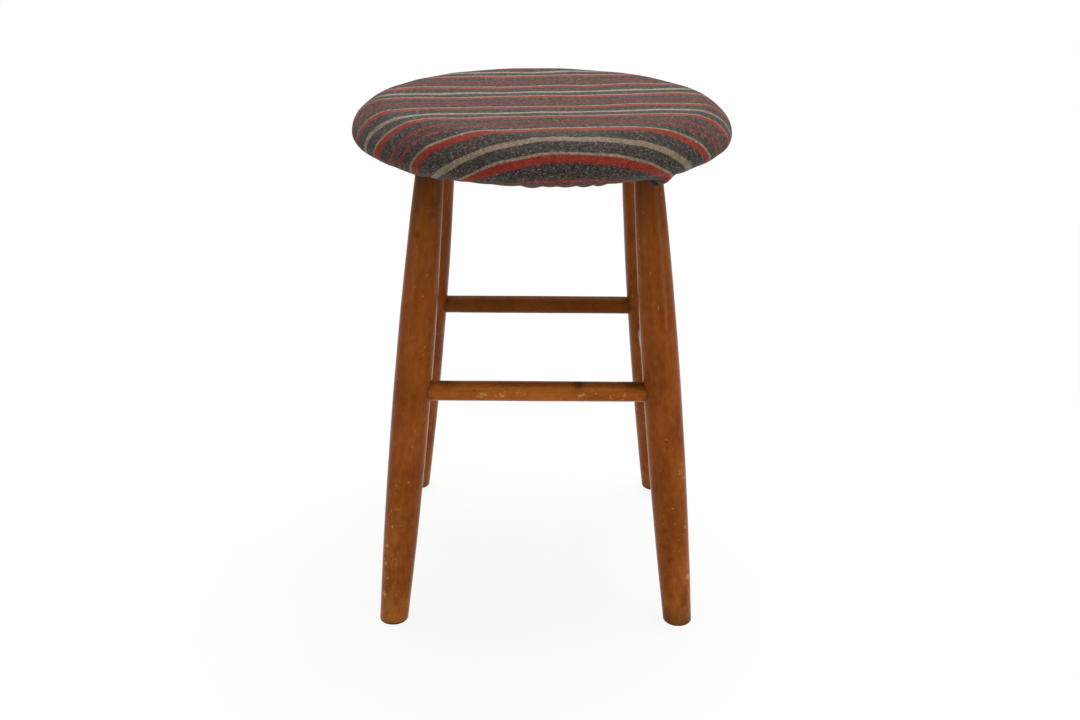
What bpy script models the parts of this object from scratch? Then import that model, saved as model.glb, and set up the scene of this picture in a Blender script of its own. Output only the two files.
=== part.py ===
"""Round upholstered stool on four splayed turned legs joined by round rods.

Units are metres, +Z is up and the floor is z = 0. The front faces -Y.
"""
import math

import bmesh
import bpy
import numpy as np
from mathutils import Vector

# Seat
SEAT_HEIGHT = 0.4672          # floor to the top of the crown, before it is sat hollow
SEAT_DIAMETER = 0.341         # over the cloth at its widest
BOARD_THICKNESS = 0.020
BOARD_EDGE_ROUND = 0.006      # lower edge, where the cloth turns under
PAD_THICKNESS = 0.0216        # stuffing above the board, before it is sat hollow
PAD_OVERHANG = 0.0117         # stuffing outside the board's edge
COVER_THICKNESS = 0.0015
COVER_WAIST = 0.266           # height of the widest ring, as a share of the upholstered edge
CROWN_POWER = 7.6             # higher is a flatter crown with a tighter shoulder
CROWN_HOLLOW = 0.0050         # how far use has pressed the middle down
HOLLOW_REACH = 0.858          # edge of the hollow, as a share of the seat's radius
HOLLOW_POWER = 4.9            # higher is a flatter floor with a steeper edge
UNDER_POWER = 1.8             # roundness of the lower turn, 2 being an ellipse
HEM_WIDTH = 0.033             # cloth lying under the board, from the board's edge inwards

# Legs
LEG_INSET = 0.0270            # leg axis inside the board's edge, at its underside
LEG_SPLAY = 5.53              # degrees, seen from the front and again from the side
LEG_BELLY_DIAMETER = 0.0336
LEG_FOOT_DIAMETER = 0.0260
LEG_SHOULDER_DIAMETER = 0.0235
LEG_BELLY_SHARE = 0.49        # height of the fullest point, as a share of the leg
FOOT_CHAMFER = 0.0010
TENON_DIAMETER = 0.0180
WEDGE_THICKNESS = 0.0030      # at its top
WEDGE_POINT = 0.0008          # at its lower end
WEDGE_SHARE = 0.70            # length of the wedge, as a share of the board's thickness

# Stretchers
ROD_DIAMETER = 0.0178
FRONT_ROD_HEIGHT = 0.2235     # axis of the front and rear rods
SOCKET_WEB = 0.0047           # wood left between the two sockets of a leg
ROD_BEYOND_AXIS = 0.0035      # how far a rod's end passes the leg's axis
ROD_CHAMFER = 0.0008

# Tacks
TACKS_PER_SIDE = 5
TACK_STEP = 15.0              # degrees between neighbours
TACK_HEAD_DIAMETER = 0.0090
TACK_HEAD_HEIGHT = 0.0014
TACK_SHANK_DIAMETER = 0.0018
TACK_LENGTH = 0.0110
TACK_PLACE = 0.48             # tack ring across the flat hem, from its inner edge

# Clearances
FIT = 0.0003                  # between pieces that lie against each other
HEM_RELIEF = 0.0030           # cloth cut away around each leg

# Facets
ROUND_SEGMENTS = 40
LEG_SEGMENTS = 24
ROD_SEGMENTS = 20
TACK_SEGMENTS = 8

# Heights and radii that follow from the sizes above
PAD_TOP = SEAT_HEIGHT - COVER_THICKNESS - FIT
PAD_BOTTOM = PAD_TOP - PAD_THICKNESS
BOARD_TOP = PAD_BOTTOM - FIT
BOARD_BOTTOM = BOARD_TOP - BOARD_THICKNESS
HEM_TOP = BOARD_BOTTOM - FIT
HEM_BOTTOM = HEM_TOP - COVER_THICKNESS
SEAT_RADIUS = SEAT_DIAMETER / 2.0
BOARD_RADIUS = SEAT_RADIUS - COVER_THICKNESS - 2.0 * FIT - PAD_OVERHANG
COVER_INSET = COVER_THICKNESS + FIT
WAIST_HEIGHT = HEM_BOTTOM + COVER_WAIST * (SEAT_HEIGHT - HEM_BOTTOM)
TURN_RADIUS = BOARD_RADIUS - BOARD_EDGE_ROUND
HEM_RADIUS = BOARD_RADIUS - HEM_WIDTH
LEG_HEIGHT = BOARD_BOTTOM - FIT
LEAN = math.tan(math.radians(LEG_SPLAY))
LEG_HALF_SPREAD = (BOARD_RADIUS - LEG_INSET) / math.sqrt(2.0)
TENON_RADIUS = min(TENON_DIAMETER, LEG_SHOULDER_DIAMETER - 0.002) / 2.0
SIDE_ROD_HEIGHT = FRONT_ROD_HEIGHT - ROD_DIAMETER - SOCKET_WEB
TACK_RING = HEM_RADIUS + TACK_PLACE * (TURN_RADIUS - HEM_RADIUS)

LEG_SIGNS = {
    "front_left": (-1, -1),
    "front_right": (1, -1),
    "rear_left": (-1, 1),
    "rear_right": (1, 1),
}


def clear_scene():
    for thing in list(bpy.data.objects):
        bpy.data.objects.remove(thing, do_unlink=True)


def make_material(name, colour, roughness, metallic=0.0):
    material = bpy.data.materials.new(name)
    material.use_nodes = True
    shader = material.node_tree.nodes["Principled BSDF"]
    shader.inputs["Base Color"].default_value = (*colour, 1.0)
    shader.inputs["Roughness"].default_value = roughness
    shader.inputs["Metallic"].default_value = metallic
    return material


def add_object(name, points, faces, material, smooth_angle=40.0, location=(0.0, 0.0, 0.0)):
    mesh = bpy.data.meshes.new(name)
    mesh.from_pydata([tuple(point) for point in points], [], faces)
    work = bmesh.new()
    work.from_mesh(mesh)
    bmesh.ops.recalc_face_normals(work, faces=work.faces)
    work.to_mesh(mesh)
    work.free()
    mesh.materials.append(material)
    mesh.shade_smooth()
    mesh.set_sharp_from_angle(angle=math.radians(smooth_angle))
    thing = bpy.data.objects.new(name, mesh)
    thing.location = location
    bpy.context.scene.collection.objects.link(thing)
    return thing


def cut_away(thing, cutter):
    cutter.hide_render = True
    cutter.display_type = "WIRE"
    step = thing.modifiers.new(cutter.name, "BOOLEAN")
    step.operation = "DIFFERENCE"
    step.solver = "EXACT"
    step.object = cutter


def join_rings(rings):
    """Close a stack of rings of equal count, from the first cap to the last."""
    count = len(rings[0])
    points = [point for ring in rings for point in ring]
    faces = [tuple(range(count))]
    for row in range(len(rings) - 1):
        for column in range(count):
            after = (column + 1) % count
            lower = row * count
            upper = lower + count
            faces.append((lower + column, lower + after, upper + after, upper + column))
    last = (len(rings) - 1) * count
    faces.append(tuple(range(last, last + count)))
    return points, faces


def circle_ring(radius, height, count):
    turn = 2.0 * math.pi / count
    return [
        (radius * math.cos(turn * step), radius * math.sin(turn * step), height)
        for step in range(count)
    ]


def lathe(profile, count):
    """Turn (radius, height) pairs about Z. Both ends lie on the axis, as single points."""
    points = []
    rows = []
    for radius, height in profile:
        if radius < 1e-6:
            rows.append([len(points)] * count)
            points.append((0.0, 0.0, height))
        else:
            rows.append(list(range(len(points), len(points) + count)))
            points.extend(circle_ring(radius, height, count))
    faces = []
    for lower, upper in zip(rows, rows[1:]):
        for column in range(count):
            after = (column + 1) % count
            corners = [lower[column], lower[after], upper[after], upper[column]]
            unique = list(dict.fromkeys(corners))
            if len(unique) > 2:
                faces.append(tuple(unique))
    return points, faces


def offset_profile(profile, distance):
    """Move an outline to its right-hand side, staying on the axis where it starts there."""
    line = np.array(profile)
    along = np.gradient(line, axis=0)
    along /= np.linalg.norm(along, axis=1)[:, None]
    normal = np.stack([-along[:, 1], along[:, 0]], axis=1)
    moved = line - distance * normal
    moved[:, 0] = np.where(line[:, 0] < 1e-6, 0.0, moved[:, 0])
    return [tuple(pair) for pair in moved]


def upholstery_outline(crown_steps=6, under_steps=4):
    """Outer outline of the cloth from the crown's centre to the flat hem."""
    outline = []
    rise = SEAT_HEIGHT - WAIST_HEIGHT
    for step in range(crown_steps + 1):
        turn = 0.5 * math.pi * step / crown_steps
        share = math.sin(turn) ** (2.0 / CROWN_POWER)
        pressed = CROWN_HOLLOW * max(0.0, 1.0 - (share / HOLLOW_REACH) ** HOLLOW_POWER)
        height = WAIST_HEIGHT + rise * math.cos(turn) - pressed
        outline.append((SEAT_RADIUS * share, height))
    fall = WAIST_HEIGHT - HEM_BOTTOM
    for step in range(1, under_steps + 1):
        turn = 0.5 * math.pi * step / under_steps
        across = max(0.0, math.cos(turn)) ** (2.0 / UNDER_POWER)
        down = math.sin(turn) ** (2.0 / UNDER_POWER)
        radius = TURN_RADIUS + (SEAT_RADIUS - TURN_RADIUS) * across
        outline.append((radius, WAIST_HEIGHT - fall * down))
    return outline


def leg_axis(signs, height):
    half = LEG_HALF_SPREAD + LEAN * (BOARD_BOTTOM - height)
    return Vector((signs[0] * half, signs[1] * half, height))


def leg_radius(height):
    belly = LEG_BELLY_SHARE * LEG_HEIGHT
    if height < belly:
        end = LEG_FOOT_DIAMETER
        share = (belly - height) / belly
    else:
        end = LEG_SHOULDER_DIAMETER
        share = (height - belly) / (LEG_HEIGHT - belly)
    return 0.5 * (LEG_BELLY_DIAMETER - (LEG_BELLY_DIAMETER - end) * share ** 2)


def leaning_ring(signs, height, radius, count):
    """A level slice of a round leg that leans: stretched a little along the lean."""
    centre = leg_axis(signs, height)
    stretch = math.hypot(1.0, math.sqrt(2.0) * LEAN) - 1.0
    lean_way = Vector((signs[0], signs[1])) / math.sqrt(2.0)
    ring = []
    for step in range(count):
        angle = 2.0 * math.pi * (step + 0.5) / count
        out = Vector((math.cos(angle), math.sin(angle)))
        out += lean_way * out.dot(lean_way) * stretch
        ring.append((centre.x + radius * out.x, centre.y + radius * out.y, height))
    return ring


def make_leg(name, signs, material):
    """A barrel-turned leg with a level foot and a round tenon that runs through the board."""
    heights = list(np.linspace(FOOT_CHAMFER, LEG_HEIGHT, 10))
    rings = [leaning_ring(signs, 0.0, leg_radius(0.0) - FOOT_CHAMFER, LEG_SEGMENTS)]
    for height in heights:
        rings.append(leaning_ring(signs, height, leg_radius(height), LEG_SEGMENTS))
    for height in (LEG_HEIGHT, BOARD_TOP - FIT):
        rings.append(leaning_ring(signs, height, TENON_RADIUS, LEG_SEGMENTS))
    foot = leg_axis(signs, 0.0)
    rings = [[tuple(Vector(point) - foot) for point in ring] for ring in rings]
    points, faces = join_rings(rings)
    return add_object(name + "_leg", points, faces, material, location=foot)


def wedge_solid(signs, grow, top, length, width):
    """A leaning wedge, thick at its top, its broad faces across the board's grain."""
    points = []
    for height, thickness in ((top, WEDGE_THICKNESS), (top - length, WEDGE_POINT)):
        centre = leg_axis(signs, height)
        half = thickness / 2.0 + grow
        for side, end in ((-1, -1), (1, -1), (1, 1), (-1, 1)):
            points.append(centre + Vector((side * half, end * width / 2.0, 0.0)))
    faces = [(0, 1, 2, 3), (4, 5, 6, 7)]
    for corner in range(4):
        after = (corner + 1) % 4
        faces.append((corner, after, after + 4, corner + 4))
    return points, faces


def make_rod(name, start, end, material, grow=0.0):
    """A straight round rod between two points, with eased ends."""
    half = (end - start).length / 2.0
    radius = ROD_DIAMETER / 2.0 + grow
    profile = [
        (radius - ROD_CHAMFER, -half),
        (radius, -half + ROD_CHAMFER),
        (radius, half - ROD_CHAMFER),
        (radius - ROD_CHAMFER, half),
    ]
    rings = [circle_ring(size, height, ROD_SEGMENTS) for size, height in profile]
    points, faces = join_rings(rings)
    rod = add_object(name, points, faces, material, location=(start + end) / 2.0)
    rod.rotation_mode = "QUATERNION"
    rod.rotation_quaternion = Vector((0.0, 0.0, 1.0)).rotation_difference(end - start)
    return rod


def rod_ends(side):
    """End points of a rod, and the two legs it joins."""
    if side in ("front", "rear"):
        height = FRONT_ROD_HEIGHT
        legs = (side + "_left", side + "_right")
        along = Vector((1.0, 0.0, 0.0))
    else:
        height = SIDE_ROD_HEIGHT
        legs = ("front_" + side, "rear_" + side)
        along = Vector((0.0, 1.0, 0.0))
    start = leg_axis(LEG_SIGNS[legs[0]], height) - along * ROD_BEYOND_AXIS
    end = leg_axis(LEG_SIGNS[legs[1]], height) + along * ROD_BEYOND_AXIS
    return start, end, legs


def tack_places():
    """Name and angle of every tack, in one even group between each pair of legs."""
    places = []
    for side in range(4):
        for step in range(TACKS_PER_SIDE):
            angle = 90.0 * side + TACK_STEP * (step - (TACKS_PER_SIDE - 1) / 2.0)
            places.append(("tack_%02d" % (len(places) + 1), math.radians(angle)))
    return places


def tack_profile():
    head = TACK_HEAD_DIAMETER / 2.0
    shank = TACK_SHANK_DIAMETER / 2.0
    return [
        (0.0, -TACK_HEAD_HEIGHT),
        (0.62 * head, -0.78 * TACK_HEAD_HEIGHT),
        (head, -0.2 * TACK_HEAD_HEIGHT),
        (head, 0.0),
        (shank, 0.0),
        (shank, 0.65 * TACK_LENGTH),
        (0.0, TACK_LENGTH),
    ]


def tack_position(angle):
    return Vector((
        TACK_RING * math.cos(angle),
        TACK_RING * math.sin(angle),
        HEM_BOTTOM - FIT,
    ))


def make_tack_cutter(name, low, high, material):
    """Every tack hole as one cutter of separate little square prisms."""
    points = []
    faces = []
    radius = TACK_SHANK_DIAMETER / 2.0 + FIT
    for _, angle in tack_places():
        centre = tack_position(angle)
        rings = []
        for height in (low, high):
            ring = circle_ring(radius * math.sqrt(2.0), height, 4)
            rings.append([(x + centre.x, y + centre.y, z) for x, y, z in ring])
        more_points, more_faces = join_rings(rings)
        faces.extend(tuple(corner + len(points) for corner in face) for face in more_faces)
        points.extend(more_points)
    return add_object(name, points, faces, material)


def make_leg_cutter(name, low, high, radius, material):
    """A leaning round hole for each leg as one cutter."""
    points = []
    faces = []
    for signs in LEG_SIGNS.values():
        rings = [leaning_ring(signs, z, radius, LEG_SEGMENTS) for z in (low, high)]
        more_points, more_faces = join_rings(rings)
        faces.extend(tuple(corner + len(points) for corner in face) for face in more_faces)
        points.extend(more_points)
    return add_object(name, points, faces, material)


def make_board(material, tack_holes):
    """Round board with a rounded lower edge, bored for the leg tenons and the tacks."""
    rounding = []
    for step in range(5):
        turn = 0.5 * math.pi * step / 4
        rounding.append((
            BOARD_RADIUS - BOARD_EDGE_ROUND * (1.0 - math.sin(turn)),
            BOARD_BOTTOM + BOARD_EDGE_ROUND * (1.0 - math.cos(turn)),
        ))
    ease = 0.1 * BOARD_THICKNESS
    profile = rounding + [
        (BOARD_RADIUS, BOARD_TOP - ease),
        (BOARD_RADIUS - ease, BOARD_TOP),
    ]
    rings = [circle_ring(radius, height, ROUND_SEGMENTS) for radius, height in profile]
    points, faces = join_rings(rings)
    board = add_object("seat_board", points, faces, material)
    mortises = make_leg_cutter(
        "mortise_cut", BOARD_BOTTOM - 0.01, BOARD_TOP + 0.01, TENON_RADIUS + FIT, material)
    cut_away(board, mortises)
    cut_away(board, tack_holes)
    return board


def end_at_height(outline, height):
    """Keep an outline that runs downwards as far as a level line."""
    kept = [pair for pair in outline if pair[1] > height]
    upper = kept[-1]
    lower = outline[len(kept)]
    share = (upper[1] - height) / (upper[1] - lower[1])
    return kept + [(upper[0] + share * (lower[0] - upper[0]), height)]


def make_pad(material):
    """Stuffing over the board and down its edge, as far as the edge stays upright."""
    floor = BOARD_TOP + FIT
    wall = BOARD_RADIUS + FIT
    skirt = BOARD_BOTTOM + BOARD_EDGE_ROUND
    outer = offset_profile(upholstery_outline(), COVER_INSET)
    profile = end_at_height(outer, skirt) + [
        (wall, skirt),
        (wall, floor),
        (0.0, floor),
    ]
    points, faces = lathe(profile, ROUND_SEGMENTS)
    return add_object("seat_pad", points, faces, material, smooth_angle=50.0)


def make_cover(material, tack_holes):
    """Cloth over the stuffing, turned under the board and cut back around the legs."""
    outer = upholstery_outline()
    inner = offset_profile(outer, COVER_THICKNESS)
    outer = outer + [(HEM_RADIUS, HEM_BOTTOM)]
    inner = inner + [(HEM_RADIUS, HEM_TOP)]
    points, faces = lathe(outer + inner[::-1], ROUND_SEGMENTS)
    cover = add_object("seat_cover", points, faces, material, smooth_angle=60.0)
    relief = make_leg_cutter(
        "leg_relief_cut", HEM_BOTTOM - 0.004, HEM_TOP + FIT / 2.0,
        leg_radius(HEM_BOTTOM) + HEM_RELIEF, material)
    cut_away(cover, relief)
    cut_away(cover, tack_holes)
    return cover


def build():
    clear_scene()
    leg_wood = make_material("leg_wood", (0.165, 0.050, 0.014), 0.36)
    rod_wood = make_material("rod_wood", (0.180, 0.058, 0.017), 0.40)
    board_wood = make_material("board_wood", (0.520, 0.360, 0.200), 0.70)
    wedge_wood = make_material("wedge_wood", (0.430, 0.290, 0.150), 0.70)
    stuffing = make_material("stuffing", (0.780, 0.700, 0.520), 0.95)
    cloth = make_material("cloth", (0.055, 0.048, 0.046), 0.95)
    steel = make_material("tack_steel", (0.060, 0.065, 0.080), 0.45, 0.9)
    hidden = make_material("cutter", (0.5, 0.5, 0.5), 1.0)

    tack_holes = make_tack_cutter(
        "tack_hole_cut", HEM_BOTTOM - 0.004, HEM_BOTTOM + TACK_LENGTH + FIT, hidden)
    make_board(board_wood, tack_holes)
    make_pad(stuffing)
    make_cover(cloth, tack_holes)

    legs = {}
    wedge_length = WEDGE_SHARE * BOARD_THICKNESS
    for name, signs in LEG_SIGNS.items():
        legs[name] = make_leg(name, signs, leg_wood)
        top = BOARD_TOP - FIT
        points, faces = wedge_solid(signs, 0.0, top, wedge_length, 1.8 * TENON_RADIUS)
        add_object(name + "_wedge", points, faces, wedge_wood)
        points, faces = wedge_solid(
            signs, FIT, top + FIT, wedge_length + 3.0 * FIT, 4.0 * TENON_RADIUS)
        cut_away(legs[name], add_object(name + "_kerf_cut", points, faces, hidden))

    for side in ("front", "rear", "left", "right"):
        start, end, joined = rod_ends(side)
        make_rod(side + "_stretcher", start, end, rod_wood)
        along = (end - start).normalized() * FIT
        socket = make_rod(side + "_socket_cut", start - along, end + along, hidden, FIT)
        for leg in joined:
            cut_away(legs[leg], socket)

    points, faces = lathe(tack_profile(), TACK_SEGMENTS)
    for name, angle in tack_places():
        add_object(name, points, faces, steel, location=tack_position(angle))


build()
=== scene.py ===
# %% [markdown]
# # A round stool with a striped wool seat
#
# The stool has four turned legs that splay both ways, four round rods between them, and a
# round board padded and covered with one striped wool cloth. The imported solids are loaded
# first as a fixed frame. Every piece below is then made in the same metres and the same axes:
# the front faces -Y, +X is to the right and the floor is z = 0.

# %% Load the frame
import math

import bpy
import numpy as np
from mathutils import Matrix, Vector


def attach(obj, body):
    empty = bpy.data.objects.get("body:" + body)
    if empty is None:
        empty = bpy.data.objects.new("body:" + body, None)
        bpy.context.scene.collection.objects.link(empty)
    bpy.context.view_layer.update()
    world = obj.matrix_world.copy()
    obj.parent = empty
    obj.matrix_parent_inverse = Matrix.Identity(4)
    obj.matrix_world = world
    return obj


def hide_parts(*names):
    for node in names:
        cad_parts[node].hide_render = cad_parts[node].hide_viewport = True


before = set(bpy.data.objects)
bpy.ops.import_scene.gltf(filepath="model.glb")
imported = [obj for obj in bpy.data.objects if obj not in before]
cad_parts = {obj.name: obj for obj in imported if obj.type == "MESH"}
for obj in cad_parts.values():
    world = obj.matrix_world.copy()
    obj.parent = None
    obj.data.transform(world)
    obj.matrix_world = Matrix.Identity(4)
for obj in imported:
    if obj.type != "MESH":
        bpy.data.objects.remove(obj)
for name in ("Cube", "Light", "Camera"):
    if name in bpy.data.objects:
        bpy.data.objects.remove(bpy.data.objects[name], do_unlink=True)
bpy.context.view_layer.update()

# %% [markdown]
# ## Sizes
#
# These lengths repeat the ones that the solids were made from, so that the finer pieces lie
# exactly where their solids do. A leg leans the same way seen from the front and from the side,
# so one number gives its axis at any height.

# %% Sizes shared with the solids
BOARD_BOTTOM = 0.4235
BOARD_TOP = 0.4435
LEG_TOP = 0.4232
LEG_HALF_SPREAD = 0.09171        # leg axis from the middle, at the board's underside
LEAN = math.tan(math.radians(5.53))
LEG_BELLY = 0.0168               # radius of a leg where it is fullest
LEG_FOOT = 0.0130                # radius at the floor
LEG_SHOULDER = 0.01175           # radius under the board
BELLY_SHARE = 0.49               # where a leg is fullest, as a share of its height
TENON_RADIUS = 0.009
ROD_RADIUS = 0.0089
ROD_BEYOND_AXIS = 0.0035         # how far a rod runs past the axis of each leg
FRONT_ROD_HEIGHT = 0.2235
SIDE_ROD_HEIGHT = 0.2010
FIT = 0.0003                     # gap all round a glued joint
UP = Vector((0.0, 0.0, 1.0))
LEG_WAYS = {
    "front_left": (-1, -1),
    "front_right": (1, -1),
    "rear_left": (-1, 1),
    "rear_right": (1, 1),
}


def leg_spread(height):
    """How far a leg's axis lies from the middle, in X and in Y, at a height."""
    return LEG_HALF_SPREAD + LEAN * (BOARD_BOTTOM - height)


def leg_axis(way, height):
    half = leg_spread(height)
    return Vector((way[0] * half, way[1] * half, height))


def leg_radius(height):
    share = height / LEG_TOP
    low = np.maximum(0.0, (BELLY_SHARE - share) / BELLY_SHARE)
    high = np.maximum(0.0, (share - BELLY_SHARE) / (1.0 - BELLY_SHARE))
    return LEG_BELLY - (LEG_BELLY - LEG_FOOT) * low ** 2 - (LEG_BELLY - LEG_SHOULDER) * high ** 2


print("leg foot at", np.round(leg_axis((1, -1), 0.0), 4).tolist())

# %% [markdown]
# ## Small helpers for nodes
#
# Geometry Nodes and materials are both trees of nodes. A few helpers keep the trees readable: one
# adds a node and wires its inputs, and the others do sums with sockets as if they were numbers.

# %% Node helpers
def wire(tree, node, wires):
    """Feed a node's inputs from sockets or plain values; a colour is given as three numbers."""
    for key, value in wires.items():
        socket = node.inputs[key]
        if isinstance(value, bpy.types.NodeSocket):
            tree.links.new(value, socket)
        elif socket.type == "RGBA":
            socket.default_value = (*value, 1.0)
        else:
            socket.default_value = value


def add_node(tree, kind, wires=None, **settings):
    """Add a node, set its options and feed its inputs."""
    made = tree.nodes.new(kind)
    for option, value in settings.items():
        setattr(made, option, value)
    wire(tree, made, wires or {})
    return made


def calc(tree, operation, *values):
    made = add_node(tree, "ShaderNodeMath", dict(enumerate(values)), operation=operation)
    return made.outputs[0]


def weigh(tree, *terms, start=0.0):
    """A sum of sockets, each times its weight, on top of a start."""
    total = start
    for value, weight in terms:
        total = calc(tree, "MULTIPLY_ADD", value, weight, total)
    return total


def vector_calc(tree, operation, *values):
    made = add_node(tree, "ShaderNodeVectorMath", dict(enumerate(values)), operation=operation)
    return made.outputs[0]


def scaled(tree, vector, share):
    """A vector times a number."""
    made = add_node(tree, "ShaderNodeVectorMath", {0: vector, "Scale": share}, operation="SCALE")
    return made.outputs[0]


def vector_length(tree, vector):
    made = add_node(tree, "ShaderNodeVectorMath", {0: vector}, operation="LENGTH")
    return made.outputs["Value"]


print("node helpers ready")

# %% [markdown]
# ## Small helpers for pieces
#
# A tree of Geometry Nodes needs an object to run on, and the export wants plain meshes. So a piece
# is grown on a throw-away object, and only the resulting mesh is kept. Numbers that a material has
# to know about a point, such as how worn it is, are stored with the mesh as attributes. They are
# worked out from two soft curves, a bell and a step.

# %% Tree and mesh helpers
def link_object(name, data):
    made = bpy.data.objects.new(name, data)
    bpy.context.scene.collection.objects.link(made)
    return made


def mesh_object(name, spots, faces):
    mesh = bpy.data.meshes.new(name)
    mesh.from_pydata(spots, [], faces)
    return link_object(name, mesh)


def new_tree(title, inputs):
    """A Geometry Nodes tree with named inputs. Returns it, its inputs and their identifiers."""
    tree = bpy.data.node_groups.new(title, "GeometryNodeTree")
    tree.interface.new_socket("Geometry", in_out="OUTPUT", socket_type="NodeSocketGeometry")
    keys = {}
    for label, kind in inputs.items():
        socket = tree.interface.new_socket(label, in_out="INPUT", socket_type="NodeSocket" + kind)
        keys[label] = socket.identifier
    return tree, tree.nodes.new("NodeGroupInput").outputs, keys


def end_tree(tree, geometry, material):
    """Close a tree: real faces instead of instances, a material, and the output."""
    real = add_node(tree, "GeometryNodeRealizeInstances", {"Geometry": geometry})
    painted = add_node(tree, "GeometryNodeSetMaterial", {
        "Geometry": real.outputs[0], "Material": material})
    add_node(tree, "NodeGroupOutput", {"Geometry": painted.outputs[0]})


def keep_result(name, source):
    """Turn an object with live modifiers into a plain mesh object with that name."""
    evaluated = source.evaluated_get(bpy.context.evaluated_depsgraph_get())
    mesh = bpy.data.meshes.new_from_object(evaluated)
    bpy.data.objects.remove(source, do_unlink=True)
    mesh.name = name
    return link_object(name, mesh)


def grow(name, tree, keys, values):
    """Run a tree with these values and keep the result as a plain mesh object."""
    seedling = link_object(name + "_tree", bpy.data.meshes.new(name + "_tree"))
    step = seedling.modifiers.new("nodes", "NODES")
    step.node_group = tree
    for label, value in values.items():
        step[keys[label]] = value
    return keep_result(name, seedling)


print("tree helpers ready")

# %% Point helpers
def points_of(piece):
    spots = np.zeros(len(piece.data.vertices) * 3)
    piece.data.vertices.foreach_get("co", spots)
    return spots.reshape(-1, 3)


def write_attribute(piece, title, values):
    """Store one number or one vector for each vertex, for a material to read."""
    values = np.asarray(values, dtype=np.float32)
    kind, field = ("FLOAT", "value") if values.ndim == 1 else ("FLOAT_VECTOR", "vector")
    layer = piece.data.attributes.new(title, kind, "POINT")
    layer.data.foreach_set(field, values.ravel())


def smooth(piece, angle=42.0):
    piece.data.shade_smooth()
    piece.data.set_sharp_from_angle(angle=math.radians(angle))


def even_turns(count):
    """Angles at even steps round a circle."""
    return np.linspace(0.0, 2.0 * math.pi, count, endpoint=False)


def bell(value, half, power=2):
    """1 at zero, falling off to both sides; a higher power gives a flatter top."""
    return np.exp(-np.abs(value / half) ** power)


def ease(value, low, high):
    """0 below low, 1 above high, and smooth between them."""
    share = np.clip((value - low) / (high - low), 0.0, 1.0)
    return share * share * (3.0 - 2.0 * share)


print("point helpers ready")

# %% [markdown]
# ## Small helpers for materials
#
# Every finish on this stool is a mix of colours by noise: streaks, clouds, specks and flecks. A
# picture could give the same, but noise has no edges or repeats and stays sharp close up. Each
# helper adds one such step to a material's tree and returns the socket with its result.

# %% Noise helpers
def new_material(title):
    material = bpy.data.materials.new(title)
    material.use_nodes = True
    tree = material.node_tree
    return material, tree, tree.nodes["Principled BSDF"]


def read_attribute(tree, title, output="Fac"):
    return add_node(tree, "ShaderNodeAttribute", attribute_name=title).outputs[output]


def object_place(tree):
    return add_node(tree, "ShaderNodeTexCoord").outputs["Object"]


def shifted(tree, source, offset):
    """The same coordinates from another start, so that two noises differ."""
    return vector_calc(tree, "ADD", source, offset)


def stretched_noise(tree, source, stretch, detail=4.0, roughness=0.55):
    """Noise read on stretched coordinates; returns its value."""
    spread = vector_calc(tree, "MULTIPLY", source, stretch)
    noise = add_node(tree, "ShaderNodeTexNoise", {
        "Vector": spread, "Scale": 1.0, "Detail": detail, "Roughness": roughness})
    return noise.outputs["Fac"]


def between(tree, value, low, high):
    """0 below low, 1 above high, and smooth between them."""
    made = add_node(tree, "ShaderNodeMapRange", {
        "Value": value, "From Min": low, "From Max": high}, interpolation_type="SMOOTHSTEP")
    return made.outputs["Result"]


print("noise helpers ready")

# %% Colour helpers
def mix_colour(tree, below, above, share, most=1.0, blend="MIX"):
    """Lay one colour over another by a share, times the most that it may cover."""
    if most != 1.0:
        share = calc(tree, "MULTIPLY", share, most)
    made = add_node(tree, "ShaderNodeMix", data_type="RGBA", blend_type=blend)
    wire(tree, made, {0: share, 6: below, 7: above})
    return made.outputs[2]


def colour_ramp(tree, share, stops):
    """A colour for each share; stops are pairs of a place from 0 to 1 and a colour."""
    ramp = add_node(tree, "ShaderNodeValToRGB", {"Fac": share})
    marks = ramp.color_ramp.elements
    for number, (place, colour) in enumerate((stops[0], stops[-1])):
        marks[number].position = place
        marks[number].color = (*colour, 1.0)
    for place, colour in stops[1:-1]:
        marks.new(place).color = (*colour, 1.0)
    return ramp.outputs["Color"]


def emboss(tree, shader, height, strength, distance):
    """Let a height in a material tilt the light on its surface."""
    bump = add_node(tree, "ShaderNodeBump", {
        "Height": height, "Strength": strength, "Distance": distance})
    wire(tree, shader, {"Normal": bump.outputs["Normal"]})


print("colour helpers ready")

# %% [markdown]
# ## The stained wood
#
# The legs and rods are a pale close-grained wood under a warm red-brown stain and an old satin
# lacquer. Up close it shows fine streaks along the grain, cloudy lighter and darker patches, dark
# specks, small pale nicks where the stain is knocked off, and golden rubbed places low on the
# legs and on the front rod. Along the front rod's upper third, a narrow golden streak is a painted
# highlight. The grime also holds painted shade: under the cloth, on the rear left leg and on the
# rear rod. A flat colour would look like plastic, so the material mixes stretched noise along each
# piece's own grain. The grain comes from an attribute of the piece, in metres, with its third axis
# along the wood, because Object coordinates would not follow a leaning leg.

# %% Marks in the wood
def spots(tree, source, stretch, size, rarity):
    """Small scattered marks: cells of a stirred Voronoi pattern, of which only a few are kept."""
    spread = vector_calc(tree, "MULTIPLY", source, stretch)
    stir = add_node(tree, "ShaderNodeTexNoise", {"Vector": spread, "Scale": 1.7, "Detail": 2.0})
    stir = vector_calc(tree, "SUBTRACT", stir.outputs["Color"], (0.5, 0.5, 0.5))
    cells = add_node(tree, "ShaderNodeTexVoronoi", {
        "Vector": vector_calc(tree, "ADD", stir, spread), "Scale": 1.0})
    near = between(tree, cells.outputs["Distance"], size, 0.45 * size)
    chosen = add_node(tree, "ShaderNodeSeparateColor", {"Color": cells.outputs["Color"]})
    kept = calc(tree, "GREATER_THAN", chosen.outputs[0], rarity)
    return calc(tree, "MULTIPLY", near, kept)


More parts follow.
